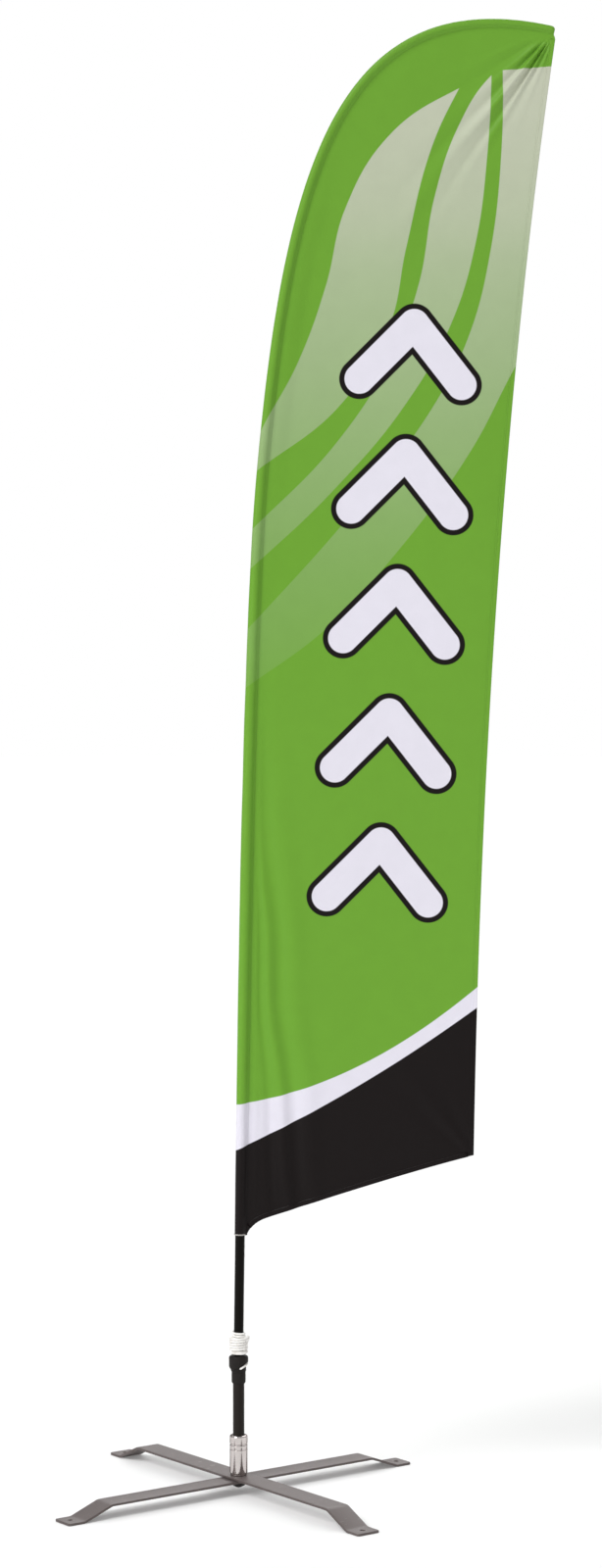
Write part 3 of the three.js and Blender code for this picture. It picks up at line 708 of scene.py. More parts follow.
def spline(points, step):
    """Points every step along a centripetal Catmull-Rom curve."""
    first = points[0] * 2 - points[1]
    last = points[-1] * 2 - points[-2]
    padded = [first, *points, last]
    dense = []
    for p0, p1, p2, p3 in zip(padded, padded[1:], padded[2:], padded[3:]):
        t1 = max((p1 - p0).length, 1e-6) ** 0.5
        t2 = t1 + max((p2 - p1).length, 1e-6) ** 0.5
        t3 = t2 + max((p3 - p2).length, 1e-6) ** 0.5
        pieces = max(int((p2 - p1).length / step * 2), 2)
        for k in range(pieces):
            t = lerp(t1, t2, k / pieces)
            a1 = p0.lerp(p1, t / t1)
            a2 = p1.lerp(p2, (t - t1) / (t2 - t1))
            a3 = p2.lerp(p3, (t - t2) / (t3 - t2))
            b1 = a1.lerp(a2, t / t2)
            b2 = a2.lerp(a3, (t - t1) / (t3 - t1))
            dense.append(b1.lerp(b2, (t - t1) / (t2 - t1)))
    dense.append(points[-1])
    line = [dense[0]]
    carried = 0.0
    for a, b in zip(dense, dense[1:]):
        length = (b - a).length
        while carried + length >= step:
            share = (step - carried) / length
            a = a.lerp(b, share)
            length = (b - a).length
            carried = 0.0
            line.append(a)
        carried += length
    return line


def braided_tube(line, radius, sides=16):
    """A round braid along a line of points, its strands standing up as a diamond pattern."""
    strands, relief_share = 4, 0.12
    lay = 2 * math.pi / (6 * radius)

    def braid(angle):
        one = math.sin(strands * angle + lay * gone)
        other = math.sin(strands * angle - lay * gone)
        return radius * cap * (1 - relief_share + relief_share * max(one, other))

    axis = (line[1] - line[0]).normalized()
    across = axis.orthogonal().normalized()
    rings = []
    gone = 0.0
    for i, point in enumerate(line):
        ahead = (line[min(i + 1, len(line) - 1)] - line[max(i - 1, 0)]).normalized()
        across = (across - ahead * across.dot(ahead)).normalized()
        upward = ahead.cross(across)
        if i:
            gone += (point - line[i - 1]).length
        end = min(i, len(line) - 1 - i)
        cap = (0.0, 0.6, 0.88, 1.0)[min(end, 3)]
        rings.append(ring_of_points(point, across, upward, braid, sides))
    return loft(rings, wrap=True)


def make_cord():
    def add_cord(name, line, radius, replaces=()):
        add_mesh(name, *braided_tube(line, radius), CORD, "rod", "cord_white", sharp=80, replaces=replaces)

    step = 0.9
    add_cord("braided_tension_cord", spline(cord_route(), step), CORD_RADIUS + BRAID_SWELL, ["tension_cord"])
    middle = Vector((TAB_X + 2.4, LOOP_Y + 2.4, 0))
    wraps = []
    for i in range(34):
        angle = 2 * math.pi * i / 12
        height = LOOP_Z - 22 - 3.9 * i / 12
        wraps.append(middle + Vector((4.9 * math.cos(angle), 4.3 * math.sin(angle), height)))
    add_cord("tension_cord_knot", spline(wraps, step), CORD_RADIUS * 0.95)


make_cord()

# ---------------------------------------------------------------- cross base


def bar_path(rise):
    half = BAR_LENGTH / 2
    low, high = BAR_THICKNESS / 2, rise + BAR_THICKNESS / 2
    bend = 14
    crest, pad = half - BAR_CREST, half - BAR_PAD
    corners = [(-half, low, 0), (-pad, low, bend), (-crest, high, bend),
               (crest, high, bend), (pad, low, bend), (half, low, 0)]
    return Path(rounded(corners, 10))


def bar_section(half_width):
    """A flat bar's section, (across, up), with its long edges rounded."""
    edge, steps = 0.9, 4
    x, y = half_width - edge, BAR_THICKNESS / 2 - edge
    section = []
    for quarter, (cx, cy) in enumerate([(x, y), (-x, y), (-x, -y), (x, -y)]):
        for k in range(steps + 1):
            angle = math.pi / 2 * (quarter + k / steps)
            section.append((cx + edge * math.cos(angle), cy + edge * math.sin(angle)))
    return section


def punch(obj, cutters):
    """Cuts cylinders (x, y, z, radius, height) out of a piece."""
    tool_mesh = bpy.data.meshes.new("punch")
    shell = bmesh.new()
    for x, y, z, radius, height in cutters:
        made = bmesh.ops.create_cone(shell, cap_ends=True, segments=48, radius1=radius * MM,
                                     radius2=radius * MM, depth=height * MM)
        bmesh.ops.translate(shell, verts=made["verts"], vec=Vector((x, y, z)) * MM)
    shell.to_mesh(tool_mesh)
    shell.free()
    tool = add_object("punch", tool_mesh)
    modifier = obj.modifiers.new("holes", "BOOLEAN")
    modifier.object = tool
    modifier.operation = "DIFFERENCE"
    modifier.solver = "EXACT"
    apply_modifiers(obj)
    bpy.data.objects.remove(tool)


def cross_bar(name, node, rise, yaw, body):
    path = bar_path(rise)
    corner_rows = [0, 0.25, 0.8, 1.7, 3, BAR_CORNER]
    spacing = 4
    between = int((path.length - 2 * BAR_CORNER) / spacing)
    rows = corner_rows + [BAR_CORNER + spacing * i for i in range(1, between)]
    rows += [path.length - s for s in reversed(corner_rows)]
    turn = Matrix.Rotation(math.radians(yaw), 3, "Z")
    rings = []
    for s in rows:
        point, way = path.at(s)
        from_end = min(s, path.length - s, BAR_CORNER)
        narrower = BAR_CORNER - math.sqrt(BAR_CORNER ** 2 - (BAR_CORNER - from_end) ** 2)
        ring = []
        for across, up in bar_section(BAR_WIDTH / 2 - narrower):
            ring.append(turn @ Vector((point.x - way.y * up, across, point.y + way.x * up)))
        rings.append(ring)
    obj = add_mesh(name, *loft(rings, wrap=True, caps=True), PAINT, body, "base_paint", replaces=[node])
    hole_x = BAR_LENGTH / 2 - PEG_HOLE_FROM_END
    cutters = [(0, 0, rise, STUD_HOLE, 30)]
    for side in (-1, 1):
        place = turn @ Vector((side * hole_x, 0, 0))
        cutters.append((place.x, place.y, 0, PEG_HOLE, 30))
    punch(obj, cutters)
    finish_piece(obj, PAINT, body, 35, ())


cross_bar("cross_bar_lower", "lower_base_bar", LOWER_BAR_RISE, LOWER_BAR_YAW, "base")
cross_bar("cross_bar_upper", "upper_base_bar", UPPER_BAR_RISE, UPPER_BAR_YAW, "upper_bar")


def cap_nut():
    """A domed hexagon nut under the bars, its dome downwards."""
    top, hex_bottom, bottom = 20.4, 12.9, 9.5
    apothem = 10.5

    def hexagon(radius, z, angle):
        if radius < 10:
            return radius
        sector = (angle % (math.pi / 3)) - math.pi / 6
        return min(radius, apothem / math.cos(sector))

    profile = rounded([
        (0, top - 8.5, 0), (STUD_HOLE, top - 8.5, 0), (STUD_HOLE, top, 0.4), (11.2, top, 0),
        (12.2, top - 0.8, 0), (12.2, hex_bottom + 0.9, 0), (11.0, hex_bottom, 0), (9, hex_bottom, 0.5),
        (8.8, hex_bottom - 0.8, 1.6), (6.4, bottom + 1.1, 3), (3.5, bottom, 2), (0, bottom, 0)])
    verts, faces = revolve(profile, 144, hexagon)
    add_mesh("cap_nut", verts, faces, DARK_STEEL, "base", "dark_steel", sharp=25, replaces=["hub_dome_nut"])


cap_nut()

# ---------------------------------------------------------------- bearing hub and foot of the pole


def turned(name, corners, material, body, slot, node):
    profile = rounded([*corners, corners[0]])
    add_mesh(name, *revolve(profile, 128), material, body, slot, replaces=[node])


turned("hub_barrel", [
    (STUD_HOLE, HUB_BOTTOM + 9, 0), (STUD_HOLE, HUB_BOTTOM, 0.3), (14.6, HUB_BOTTOM, 0.8),
    (15.6, HUB_BOTTOM + 1, 0.4), (15.6, HUB_BOTTOM + 4, 0.5), (16.7, HUB_BOTTOM + 5, 0.5),
    (16.7, HUB_TOP - 9.2, 0.3), (16.1, HUB_TOP - 8.8, 0.2), (16.1, HUB_TOP - 8.0, 0.2),
    (16.7, HUB_TOP - 7.6, 0.3), (16.7, HUB_TOP - 0.6, 0.5), (16.1, HUB_TOP, 0.2),
    (14.3, HUB_TOP, 0.2), (14.3, HUB_BOTTOM + 9, 0.5)],
    CHROME, "base", "chrome", "hub_housing")
turned("hub_collar", [
    (7.4, SEAT_HEIGHT, 0.2), (7.4, COLLAR_BOTTOM, 0.3), (16.0, COLLAR_BOTTOM, 0.2),
    (16.0, COLLAR_BOTTOM + 2.1, 0.3), (16.9, COLLAR_BOTTOM + 3, 0.4), (16.9, COLLAR_TOP - 2.6, 2.4),
    (16.0, COLLAR_TOP - 0.8, 1.5), (14.3, COLLAR_TOP, 0.8), (11.1, COLLAR_TOP, 0.4),
    (11.1, SEAT_HEIGHT, 0.3)],
    CHROME, "rotor", "chrome", "rotor_collar")
turned("foot_tube_body", [
    (TUBE_INNER, TUBE_BOTTOM, 0.3), (TUBE_OUTER, TUBE_BOTTOM, 0.4), (TUBE_OUTER, TUBE_TOP, 0.3),
    (TUBE_INNER, TUBE_TOP, 0.3)],
    TUBE_BLACK, "pole_foot", "pole_black", "foot_tube")
turned("foot_tube_grip", [
    (TUBE_OUTER + GAP, SLEEVE_BOTTOM, 0.2), (12.3, SLEEVE_BOTTOM, 0.6),
    (SLEEVE_OUTER, SLEEVE_BOTTOM + 2.2, 1.2), (SLEEVE_OUTER, 226.6, 0.3), (13.0, 227.0, 0.2),
    (13.0, 227.8, 0.2), (SLEEVE_OUTER, 228.2, 0.3), (SLEEVE_OUTER, TUBE_TOP, 0.6),
    (TUBE_OUTER + GAP, TUBE_TOP, 0.2)],
    RUBBER, "pole_foot", "cleat_black", "foot_tube_sleeve")


def spindle_shaft():
    """The shaft that turns in the bearings and stands up inside the rod."""
    bottom, shoulder = 43.8, 88.4
    clip_low, clip_high = 45.3, 46.8
    corners = [(0, bottom, 0), (6, bottom, 0.6), (6, clip_low, 0.1), (5.2, clip_low, 0.1),
               (5.2, clip_high, 0.1), (6, clip_high, 0.1), (6, shoulder, 0.2), (7.1, shoulder, 0.4),
               (7.1, SEAT_HEIGHT, 0.1), (7.3, SEAT_HEIGHT, 0.1), (7.3, SPINDLE_TOP - 4, 1.5),
               (5.3, SPINDLE_TOP, 1.2), (0, SPINDLE_TOP, 0)]
    add_mesh("spindle_shaft", *revolve(rounded(corners), 96), STEEL, "rotor", "steel", replaces=["spindle"])


spindle_shaft()


def hook_cleat():
    """The ring that the cord's tail hooks under: its lower edge is cut away on the sail's side."""
    inner = ROD_RADIUS + GAP
    flare = [(14.2, 232.2), (15.0, 235.0), (CLEAT_RADIUS, LEDGE_HEIGHT)]
    upper = rounded([(CLEAT_RADIUS, 250, 0), (CLEAT_RADIUS, CLEAT_TOP - 4, 3), (17.1, CLEAT_TOP - 1.2, 2),
                     (14.3, CLEAT_TOP, 1.5), (inner + 0.6, CLEAT_TOP, 0.5), (inner, CLEAT_TOP - 0.8, 0)])
    rings = []
    for angle in around(128):
        slope = LEDGE_SLOPE * math.cos(angle)
        ring = [(inner, CLEAT_BOTTOM + 0.5), (inner + 0.5, CLEAT_BOTTOM), (13.2, CLEAT_BOTTOM),
                (13.9, CLEAT_BOTTOM + 0.5), (CLEAT_WAIST, CLEAT_BOTTOM + 1.2)]
        for k in range(9):
            radius = lerp(CLEAT_WAIST, CLEAT_RADIUS, k / 8)
            lift = 0.7 * max(0, k - 6) ** 2 / 4
            ring.append((radius, max(through(flare, radius), LEDGE_HEIGHT + slope * radius) + lift))
        ring += upper
        rings.append([(r * math.cos(angle), r * math.sin(angle), z) for r, z in ring])
    add_mesh("hook_cleat", *loft(rings, wrap=True, close=True), RUBBER, "rod", "cleat_black",
             replaces=["cord_cleat"])


hook_cleat()

# ---------------------------------------------------------------- rod


def along_rod(s):
    """The rod's point at s, and two axes across it: in the sail's plane on its side, and towards the back."""
    point, way = ROD.at(s)
    return Vector((point.x, 0, point.y)), Vector((way.y, 0, -way.x)), Vector((0, 1, 0))


def rod_rings(stations, radius_at):
    """Rings of points round the rod; radius_at(s) is their radius at s along it."""
    return [ring_of_points(*along_rod(s), lambda angle: radius_at(s), 32) for s in stations]


def rod_section(node, start, end, radius, tip, wall):
    step, round_end = 12, 0.6
    count = int((end - start) / step)
    stations = [start, start + 0.2, start + round_end]
    stations += [lerp(start + round_end, end - round_end, i / count) for i in range(1, count)]
    stations += [end - round_end, end - 0.2, end]

    def outer(s):
        return lerp(radius, tip, (s - start) / (end - start))

    def end_rounding(s):
        return (round_end - min(s - start, end - s, round_end)) * 0.6

    outside = rod_rings(stations, lambda s: outer(s) - end_rounding(s))
    inside = rod_rings(stations[::-1], lambda s: outer(s) - wall)
    add_mesh(node.replace("section", "tube"), *loft(outside + inside, wrap=True, close=True), FIBREGLASS,
             "rod", "pole_black", sharp=50, replaces=[node])


for node, sizes in ROD_SECTIONS.items():
    rod_section(node, *sizes)

# ---------------------------------------------------------------- sail

CLOTH = 0.35
SEAM_OFFSET = 2.2       # from the rod's pocket to its seam
ALLOWANCE = 9           # cloth turned in behind the seam
PANEL_PLACE = -0.25     # the cloth's middle, in front of the rod's axis
POCKET_TURNS = 22
POCKET_POINTS = POCKET_TURNS + 6


def flat_edge(curve, count=200):
    return Path([bezier(curve, i / count) for i in range(count + 1)])


LEECH = flat_edge(LEECH_CURVE)


def seam_at(s):
    """Where the pocket's seam is in the XZ plane, at the distance s along the rod."""
    point, way = ROD.at(s)
    reach = through(POCKET_RADIUS, s) + SEAM_OFFSET
    return Vector((point.x + way.y * reach, point.y - way.x * reach))


SEAM = [seam_at(s) for s in range(POCKET_START, TIP_POCKET_END + 8, 8)]


def distance_to_seam(x, z):
    """How far a point of the sail is from the pocket's seam."""
    point = Vector((x, z))
    stride = 16

    def closest(indices):
        return min(indices, key=lambda i: (SEAM[i] - point).length_squared)

    rough = closest(range(0, len(SEAM), stride))
    near = closest(range(max(rough - stride, 0), min(rough + stride + 1, len(SEAM))))
    best = (SEAM[near] - point).length
    for i in (near - 1, near):
        if 0 <= i < len(SEAM) - 1:
            foot, share = geometry.intersect_point_line(point, SEAM[i], SEAM[i + 1])
            if 0 <= share <= 1:
                best = min(best, (foot - point).length)
    return best


def foot_path():
    """The sail's lower edge, from the pocket's seam to the clew."""
    start = seam_at(POCKET_START)
    turn = [(start.x, start.y), (start.x + 6, start.y + 14), (FOOT_END[0] - 22, FOOT_END[1] - 8), FOOT_END]
    points = [bezier(turn, i / 30) for i in range(30)]
    points += [bezier(FOOT_CURVE[::-1], i / 120) for i in range(121)]
    return Path(points)


FOOT = foot_path()


def crease(offset, width):
    """A rounded ridge of height 1 where offset is 0."""
    return math.exp(-((offset / width) ** 2))


def fan(x, z, centre, rays, near, far, seed):
    """Creases that run out from a point; each ray is (direction and half width in degrees, height, reach)."""
    dx, dz = x - centre[0], z - centre[1]
    distance = math.hypot(dx, dz)
    if distance > far:
        return 0.0
    angle = math.degrees(math.atan2(dz, dx)) % 360
    angle += 1.6 * noise.noise(Vector((distance * 0.006, seed, 0.5)))
    total = 0.0
    for direction, width, height, reach in rays:
        along = smooth(distance / near) * (1 - smooth(distance / (far * reach)))
        swell = 1 + 0.6 * noise.noise(Vector((distance * 0.009, direction, seed)))
        total += height * along * swell * crease(angle - direction, width)
    return total


HEAD_RAYS = [(230.3, 2.0, -6.5, 1.0), (235.6, 1.3, 5.4, 0.8), (238.4, 1.2, -3.4, 0.7),
             (242.0, 1.5, 2.6, 0.55), (247.0, 1.6, -1.6, 0.45), (225.6, 1.7, 3.4, 0.9),
             (220.0, 2.2, -2.4, 0.8), (212.0, 2.6, 1.8, 0.7), (204.0, 2.4, -1.4, 0.55)]
CLEW_RAYS = [(128, 4, -1.2, 1.0), (139, 4, 1.0, 0.8), (116, 4, 0.9, 0.7)]


def pole_folds(z, from_seam):
    """Long soft folds beside the pocket, that drift away from it on their way down."""
    height = smooth((z - 440) / 200) * (1 - smooth((z - 1000) / 650))
    if height == 0:
        return 0.0
    drift = (965 - z) * 0.085 + 6 * noise.noise(Vector((z * 0.006, 0, 4.2)))
    folds = 0.0
    for place, width, depth in ((6, 5, -1.5), (20, 7, 3.0), (36, 9, -3.8), (58, 12, 3.4), (88, 18, -2.8)):
        folds += depth * crease(from_seam - place - drift * min(place / 25, 1.2), width)
    return height * folds


def relief(x, z):
    """How far the cloth stands off its plane, towards the back, in millimetres."""
    from_seam = distance_to_seam(x, z)
    calm = smooth((from_seam - ALLOWANCE) / 30)
    belly = -5.0 * noise.noise(Vector((x * 0.0035, z * 0.0016, 3.1)))
    ripple = 0.9 * noise.noise(Vector((x * 0.012, z * 0.006, 11.7)))
    head = fan(x, z, (600, 2762), HEAD_RAYS, 70, 640, 2.0)
    clew = fan(x, z, (452, 630), CLEW_RAYS, 40, 420, 4.0)
    near_pole = smooth((from_seam - ALLOWANCE + 1) / 10) * pole_folds(z, from_seam)
    return calm * (belly + ripple + head + clew) + near_pole - 0.2 * smooth(from_seam / 8)


def on_cloth(point, back=0.0):
    """The place that is back behind the cloth's middle, at a point of the sail's plane."""
    return point.x, relief(point.x, point.y) + PANEL_PLACE + back, point.y


def inset(path, s, distance):
    """The point that is distance in from an edge of the sail, at s along the edge."""
    place, way = path.at(s)
    return place + Vector((-way.y, way.x)) * distance


def pocket_row(s, close):
    """The cloth's path round the rod, from behind the seam to the front of it."""
    point, way = ROD.at(s)
    radius = (through(POCKET_RADIUS, s) - 0.3) * close
    seam = through(POCKET_RADIUS, s) + SEAM_OFFSET
    touch = math.acos(min(radius / seam, 1)) if radius else math.pi / 2
    turned_in = 1.2 + ALLOWANCE * smooth((s - POCKET_START - 15) / 80)
    path = [(seam + turned_in, 0.65), (seam + turned_in / 2, 0.6), (seam + 0.5, 0.55), (seam, 0.5)]
    for k in range(POCKET_TURNS + 1):
        angle = lerp(touch, 2 * math.pi - touch, k / POCKET_TURNS)
        slack = 1 + 0.035 * noise.noise(Vector((s * 0.012, angle * 1.2, 21))) * math.sin(angle / 2)
        path.append((radius * slack * math.cos(angle), radius * slack * math.sin(angle)))
    path.append((seam, PANEL_PLACE))
    row = []
    for across, back in path:
        row.append((point.x + way.y * across, back, point.y - way.x * across))
    return row


def sail_rows():
    """Rows of points from the pocket's allowance, round the rod and across to the leech."""
    count, columns = 372, 84
    closing = 2926          # from here on, the pocket's closed end is rounded
    stations = [lerp(POCKET_START, closing, i / count) for i in range(count)]
    stations += [closing, 2928, 2930, 2931.5, 2932.8, 2933.6, TIP_POCKET_END]
    span = TIP_POCKET_END - POCKET_START
    corner_foot, corner_clew = seam_at(POCKET_START), Vector(CLEW)
    corner_tip, corner_head = seam_at(TIP_POCKET_END), Vector(HEAD)
    rows = []
    for s in stations:
        v = (s - POCKET_START) / span
        past = max(s - closing, 0) / (TIP_POCKET_END - closing)
        row = pocket_row(s, math.sqrt(max(1 - past ** 2, 0.0004)))
        left = seam_at(s)
        right, _ = LEECH.at(LEECH.length * v)
        for j in range(1, columns + 1):
            u = (j / columns) ** 1.12
            low, _ = FOOT.at(FOOT.length * u)
            high = corner_tip.lerp(corner_head, u)
            sides = left.lerp(right, u)
            ends = low.lerp(high, v)
            corners = corner_foot.lerp(corner_clew, u).lerp(high, v)
            row.append(on_cloth(sides + ends - corners))
        rows.append(row)
    return rows, stations


def thicken(obj, thickness):
    """Gives a sheet its thickness, and leaves a plain mesh."""
    modifier = obj.modifiers.new("cloth", "SOLIDIFY")
    modifier.thickness = thickness * MM
    modifier.offset = 0
    modifier.use_even_offset = False
    apply_modifiers(obj)
    obj.data.shade_smooth()


def flat_size(rows, stations):
    """Width and length in metres of the sheet laid flat, its pocket unrolled beyond the seam."""
    flat = []
    for s, row in zip(stations, rows):
        wrap = sum((Vector(b) - Vector(a)).length for a, b in zip(row, row[1:POCKET_POINTS]))
        _, way = ROD.at(s)
        seam = seam_at(s)
        flat.append((seam.x - way.y * wrap, seam.y + way.x * wrap))
        flat += [(x, z) for x, _, z in row[POCKET_POINTS:]]
    xs, zs = zip(*flat)
    return round((max(xs) - min(xs)) * MM, 3), round((max(zs) - min(zs)) * MM, 3)


def surface_area(rows):
    """The area of a grid of points, in square metres."""
    total = 0.0
    for low, high in zip(rows, rows[1:]):
        for a, b, c, d in zip(low, low[1:], high[1:], high):
            a, b, c, d = Vector(a), Vector(b), Vector(c), Vector(d)
            total += ((c - a).cross(d - b)).length / 2
    return total * MM * MM


def hem_rows(path, start, end, step):
    """A strip folded over the edge of the cloth: front layer, fold, back layer."""
    count = int((end - start) / step)
    fold, steps = 0.75, 6
    section = [(HEM_WIDTH * k / 4, -fold) for k in range(4, 0, -1)]
    for k in range(steps + 1):
        angle = -math.pi / 2 - math.pi * k / steps
        section.append((fold * 0.4 + fold * math.cos(angle), fold * math.sin(angle)))
    section += [(HEM_WIDTH * k / 4, fold) for k in range(1, 5)]
    rows = []
    for i in range(count + 1):
        s = lerp(start, end, i / count)
        rows.append([on_cloth(inset(path, s, across), back) for across, back in section])
    return rows


def stitch_row(points, length, pitch, radius):
    """Stitches laid on a line of points: short beads of thread with gaps between them."""
    path_length = sum((b - a).length for a, b in zip(points, points[1:]))
    shapes = []
    index, walked = 0, 0.0
    for n in range(int(path_length / pitch)):
        target = (n + 0.5) * pitch
        while index < len(points) - 2 and walked + (points[index + 1] - points[index]).length < target:
            walked += (points[index + 1] - points[index]).length
            index += 1
        edge = points[index + 1] - points[index]
        way = edge.normalized()
        centre = points[index] + way * (target - walked)
        across = way.cross(Vector((0, 1, 0)))
        across = across.normalized() if across.length > 1e-6 else Vector((1, 0, 0))
        upward = way.cross(across)
        rings = []
        for along, size in ((-0.5, 0.12), (-0.32, 0.9), (0.32, 0.9), (0.5, 0.12)):
            ring = []
            for angle in around(6):
                offset = across * (radius * size * math.cos(angle))
                offset += upward * (radius * size * 0.8 * math.sin(angle))
                ring.append(centre + way * (along * length) + offset)
            rings.append(ring)
        shapes.append(loft(rings, wrap=True, caps=True))
    return join(shapes)


def make_sail():
    rows, stations = sail_rows()
    sail = add_mesh("sail_cloth", *loft(rows), SAIL, "rod", "sail_green", sharp=180,
                    replaces=["sail_panel", "sail_pole_pocket", "sail_tip_pocket"])
    thicken(sail, CLOTH)
    for name, slot, path, start, end in (
            ("leech_hem", "sail_green", LEECH, 0, LEECH.length - 2),
            ("foot_hem", "sail_black", FOOT, 16, FOOT.length - HEM_WIDTH - 1)):
        strip = add_mesh(name, *loft(hem_rows(path, start, end, 6)), SAIL, "rod", slot, sharp=180,
                         replaces=["sail_" + name])
        thicken(strip, CLOTH)
    flat_size(rows, stations)
    surface_area(rows)


make_sail()


def make_stitching():
    length, pitch, radius = 2.6, 3.4, 0.28
    shapes = []
    for side in (-1, 1):
        line = []
        for i in range(431):
            place = seam_at(lerp(POCKET_START + 4, 2915, i / 430))
            line.append(Vector((place.x, -0.55 if side < 0 else 0.95, place.y)))
        shapes.append(stitch_row(line, length, pitch, radius))
        for path, start, end in ((LEECH, 4, LEECH.length - 10), (FOOT, 20, FOOT.length - HEM_WIDTH - 4)):
            count = int((end - start) / 6)
            places = [inset(path, lerp(start, end, i / count), HEM_WIDTH - 1.6) for i in range(count + 1)]
            line = [Vector(on_cloth(place, side * 1.15)) for place in places]
            shapes.append(stitch_row(line, length, pitch, radius))
    add_mesh("sail_stitching", *join(shapes), THREAD, "rod", "sail_green", sharp=60)


make_stitching()


def pocket_elastic():
    """A thin ribbed elastic sewn round the mouth of the pocket."""
    centre, _ = ROD.at(POCKET_START + 1.4)
    middle = Vector((centre.x, 0, centre.y))
    ring_radius = POCKET_RADIUS[0][1] + 0.5
    opening, steps = 28, 160
    rings = []
    for i in range(steps + 1):
        angle = math.radians(lerp(opening, 360 - opening, i / steps))
        outwards = Vector((math.cos(angle), math.sin(angle), 0))
        thick = 0.85 * (0.9 + 0.1 * math.sin(i * 1.9))
        ring = []
        for turn in around(10):
            rise = Vector((0, 0, 1.5 * thick * math.sin(turn)))
            ring.append(middle + outwards * (ring_radius + 0.55 * thick * math.cos(turn)) + rise)
        rings.append(ring)
    add_mesh("pocket_elastic", *loft(rings, wrap=True, caps=True), ELASTIC, "rod", "cord_white", sharp=60)


pocket_elastic()


def pull_tab():
    """A webbing loop sewn to the back of the pocket's foot; the cord goes through it."""
    width, thickness, loop = 6.0, 1.4, 4.3
    layer = TAB_BACK + thickness / 2
    line = [(layer, LOOP_Z + height) for height in (48, 36, 20, 8)]
    for k in range(17):
        angle = math.radians(lerp(165, 375, k / 16))
        line.append((LOOP_Y + loop * math.cos(angle), LOOP_Z + loop * math.sin(angle)))
    line += [(layer + 1.7, LOOP_Z + 8), (layer + 1.5, LOOP_Z + 16), (layer + 1.5, LOOP_Z + 32)]
    half = thickness / 2 * 0.94
    corners = [(-1, -0.6), (-0.86, -1), (0.86, -1), (1, -0.6), (1, 0.6), (0.86, 1), (-0.86, 1), (-1, 0.6)]
    rings = []
    for i, (y, z) in enumerate(line):
        before, after = Vector(line[max(i - 1, 0)]), Vector(line[min(i + 1, len(line) - 1)])
        way = (after - before).normalized()
        ring = []
        for across, off in corners:
            ring.append((TAB_X + across * width / 2, y - way.y * off * half, z + way.x * off * half))
        rings.append(ring)
    add_mesh("pull_tab", *loft(rings, wrap=True, caps=True), WEBBING, "rod", "sail_black", sharp=50,
             replaces=["tension_tab"])


pull_tab()

# ---------------------------------------------------------------- the CAD's own pieces


def finish_cad_nodes():
    bearings = [f"{place}_bearing_{part}" for place in ("lower", "upper")
                for part in ("outer_ring", "inner_ring", "ball_cage")]
    ferrules = ["rod_section_lower_ferrule", "rod_section_middle_ferrule"]
    for material, nodes in (
            (STEEL, ["hub_stud", "bearing_spacer", *bearings, *ferrules]),
            (DARK_STEEL, ["stud_washer", "spindle_circlip"]),
            (NYLON, ["bar_friction_washer", "foot_tube_bush"]),
            (RUBBER, ["rod_tip_cap"])):
        for node in nodes:
            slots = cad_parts[node].data.materials
            slots.clear()
            slots.append(material)


finish_cad_nodes()

# ---------------------------------------------------------------- floor, world and lights


def make_floor():
    shell = bmesh.new()
    bmesh.ops.create_circle(shell, cap_ends=True, segments=96, radius=40)
    mesh = bpy.data.meshes.new("floor")
    shell.to_mesh(mesh)
    shell.free()
    floor = add_object("floor", mesh)
    floor.location.z = -0.0002
    look = Look("floor_white", Roughness=0.9, Specular_IOR_Level=0.1, Emission_Color=(1, 1, 1, 1))
    x, y, _ = look.axes()
    far = (x * x + y * y).math("SQRT").step(600, 3600)
    look.feed("Base Color", look.shade(look.colour((0.93, 0.93, 0.93, 1)), far * -1.0 + 1.0))
    look.feed("Emission Strength", far)
    mesh.materials.append(look.material)


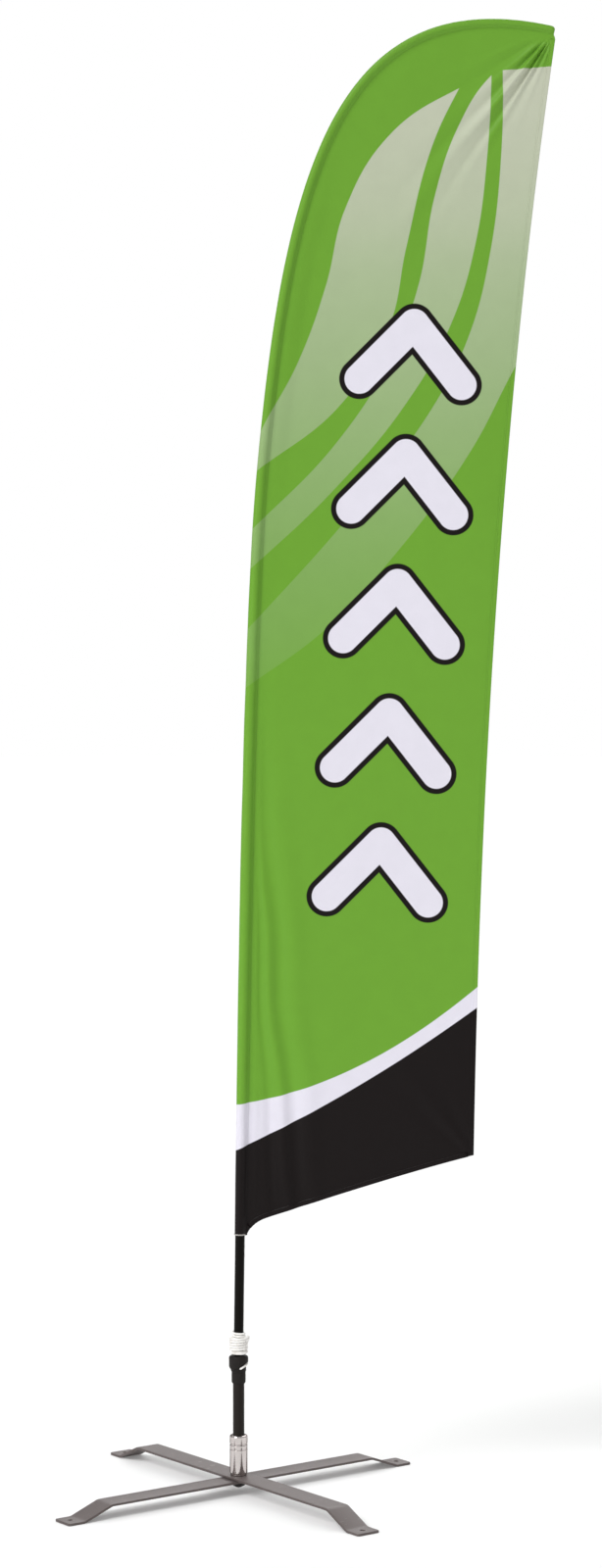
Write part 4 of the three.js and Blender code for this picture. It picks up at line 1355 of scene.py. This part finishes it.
def make_world():
    """White to the camera; for light and reflections, white with dark strips like a studio's flags."""
    world = bpy.data.worlds.new("studio")
    scene.world = world
    world.use_nodes = True
    tree = world.node_tree
    tree.nodes.clear()
    split = add_node(tree, "SeparateXYZ", Vector=add_node(tree, "TexCoord").outputs["Generated"])
    x, y, z = [Field(tree, output) for output in split.outputs]
    azimuth = x.math("ARCTAN2", y)
    strips = None
    for centre in (-2.55, -1.2, -0.5, 0.5, 1.2, 2.55):
        strip = (azimuth - centre).math("ABSOLUTE").step(0.1, 0.2)
        strips = strip if strips is None else strips * strip
    side = z.math("ABSOLUTE").step(0.25, 0.7)
    brightness = strips.math("MAXIMUM", side) * 0.5 + 0.05
    lighting = add_node(tree, "Background", Color=(1, 1, 1, 1), Strength=brightness)
    backdrop = add_node(tree, "Background", Color=(1, 1, 1, 1))
    mixer = add_node(tree, "MixShader")
    camera_ray = add_node(tree, "LightPath").outputs["Is Camera Ray"]
    for plug, source in zip(mixer.inputs, (camera_ray, lighting.outputs[0], backdrop.outputs[0])):
        set_input(tree, plug, source)
    add_node(tree, "OutputWorld", Surface=mixer.outputs[0])


def add_lamp(name, kind, energy, turn):
    data = bpy.data.lights.new(name, kind)
    data.energy = energy
    lamp = add_object(name, data)
    lamp.rotation_euler = turn.to_euler()
    return lamp


def softbox(name, location, target, size, watts):
    way = Vector(target) - Vector(location)
    lamp = add_lamp(name, "AREA", watts, way.to_track_quat("-Z", "Y"))
    lamp.location = location
    lamp.data.shape = "RECTANGLE"
    lamp.data.size, lamp.data.size_y = size


def soft_sun(name, towards, strength, spread, shadow=True):
    """A broad distant light that shines from a direction."""
    lamp = add_lamp(name, "SUN", strength, Vector(towards).to_track_quat("Z", "Y"))
    lamp.data.angle = math.radians(spread)
    lamp.data.use_shadow = shadow


make_floor()
make_world()
soft_sun("key", (-0.6, -0.62, 0.8), 1.5, 26)
soft_sun("back_fill", (0.1, 0.85, 0.75), 1.1, 40, shadow=False)
softbox("strip_left", (-3.4, -3.2, 1.6), (0, 0, 1.2), (0.7, 3.2), 26)
softbox("strip_back", (2.6, 3.6, 2.4), (0.2, 0, 1.2), (1.2, 2.6), 24)
scene.view_settings.view_transform = "Standard"
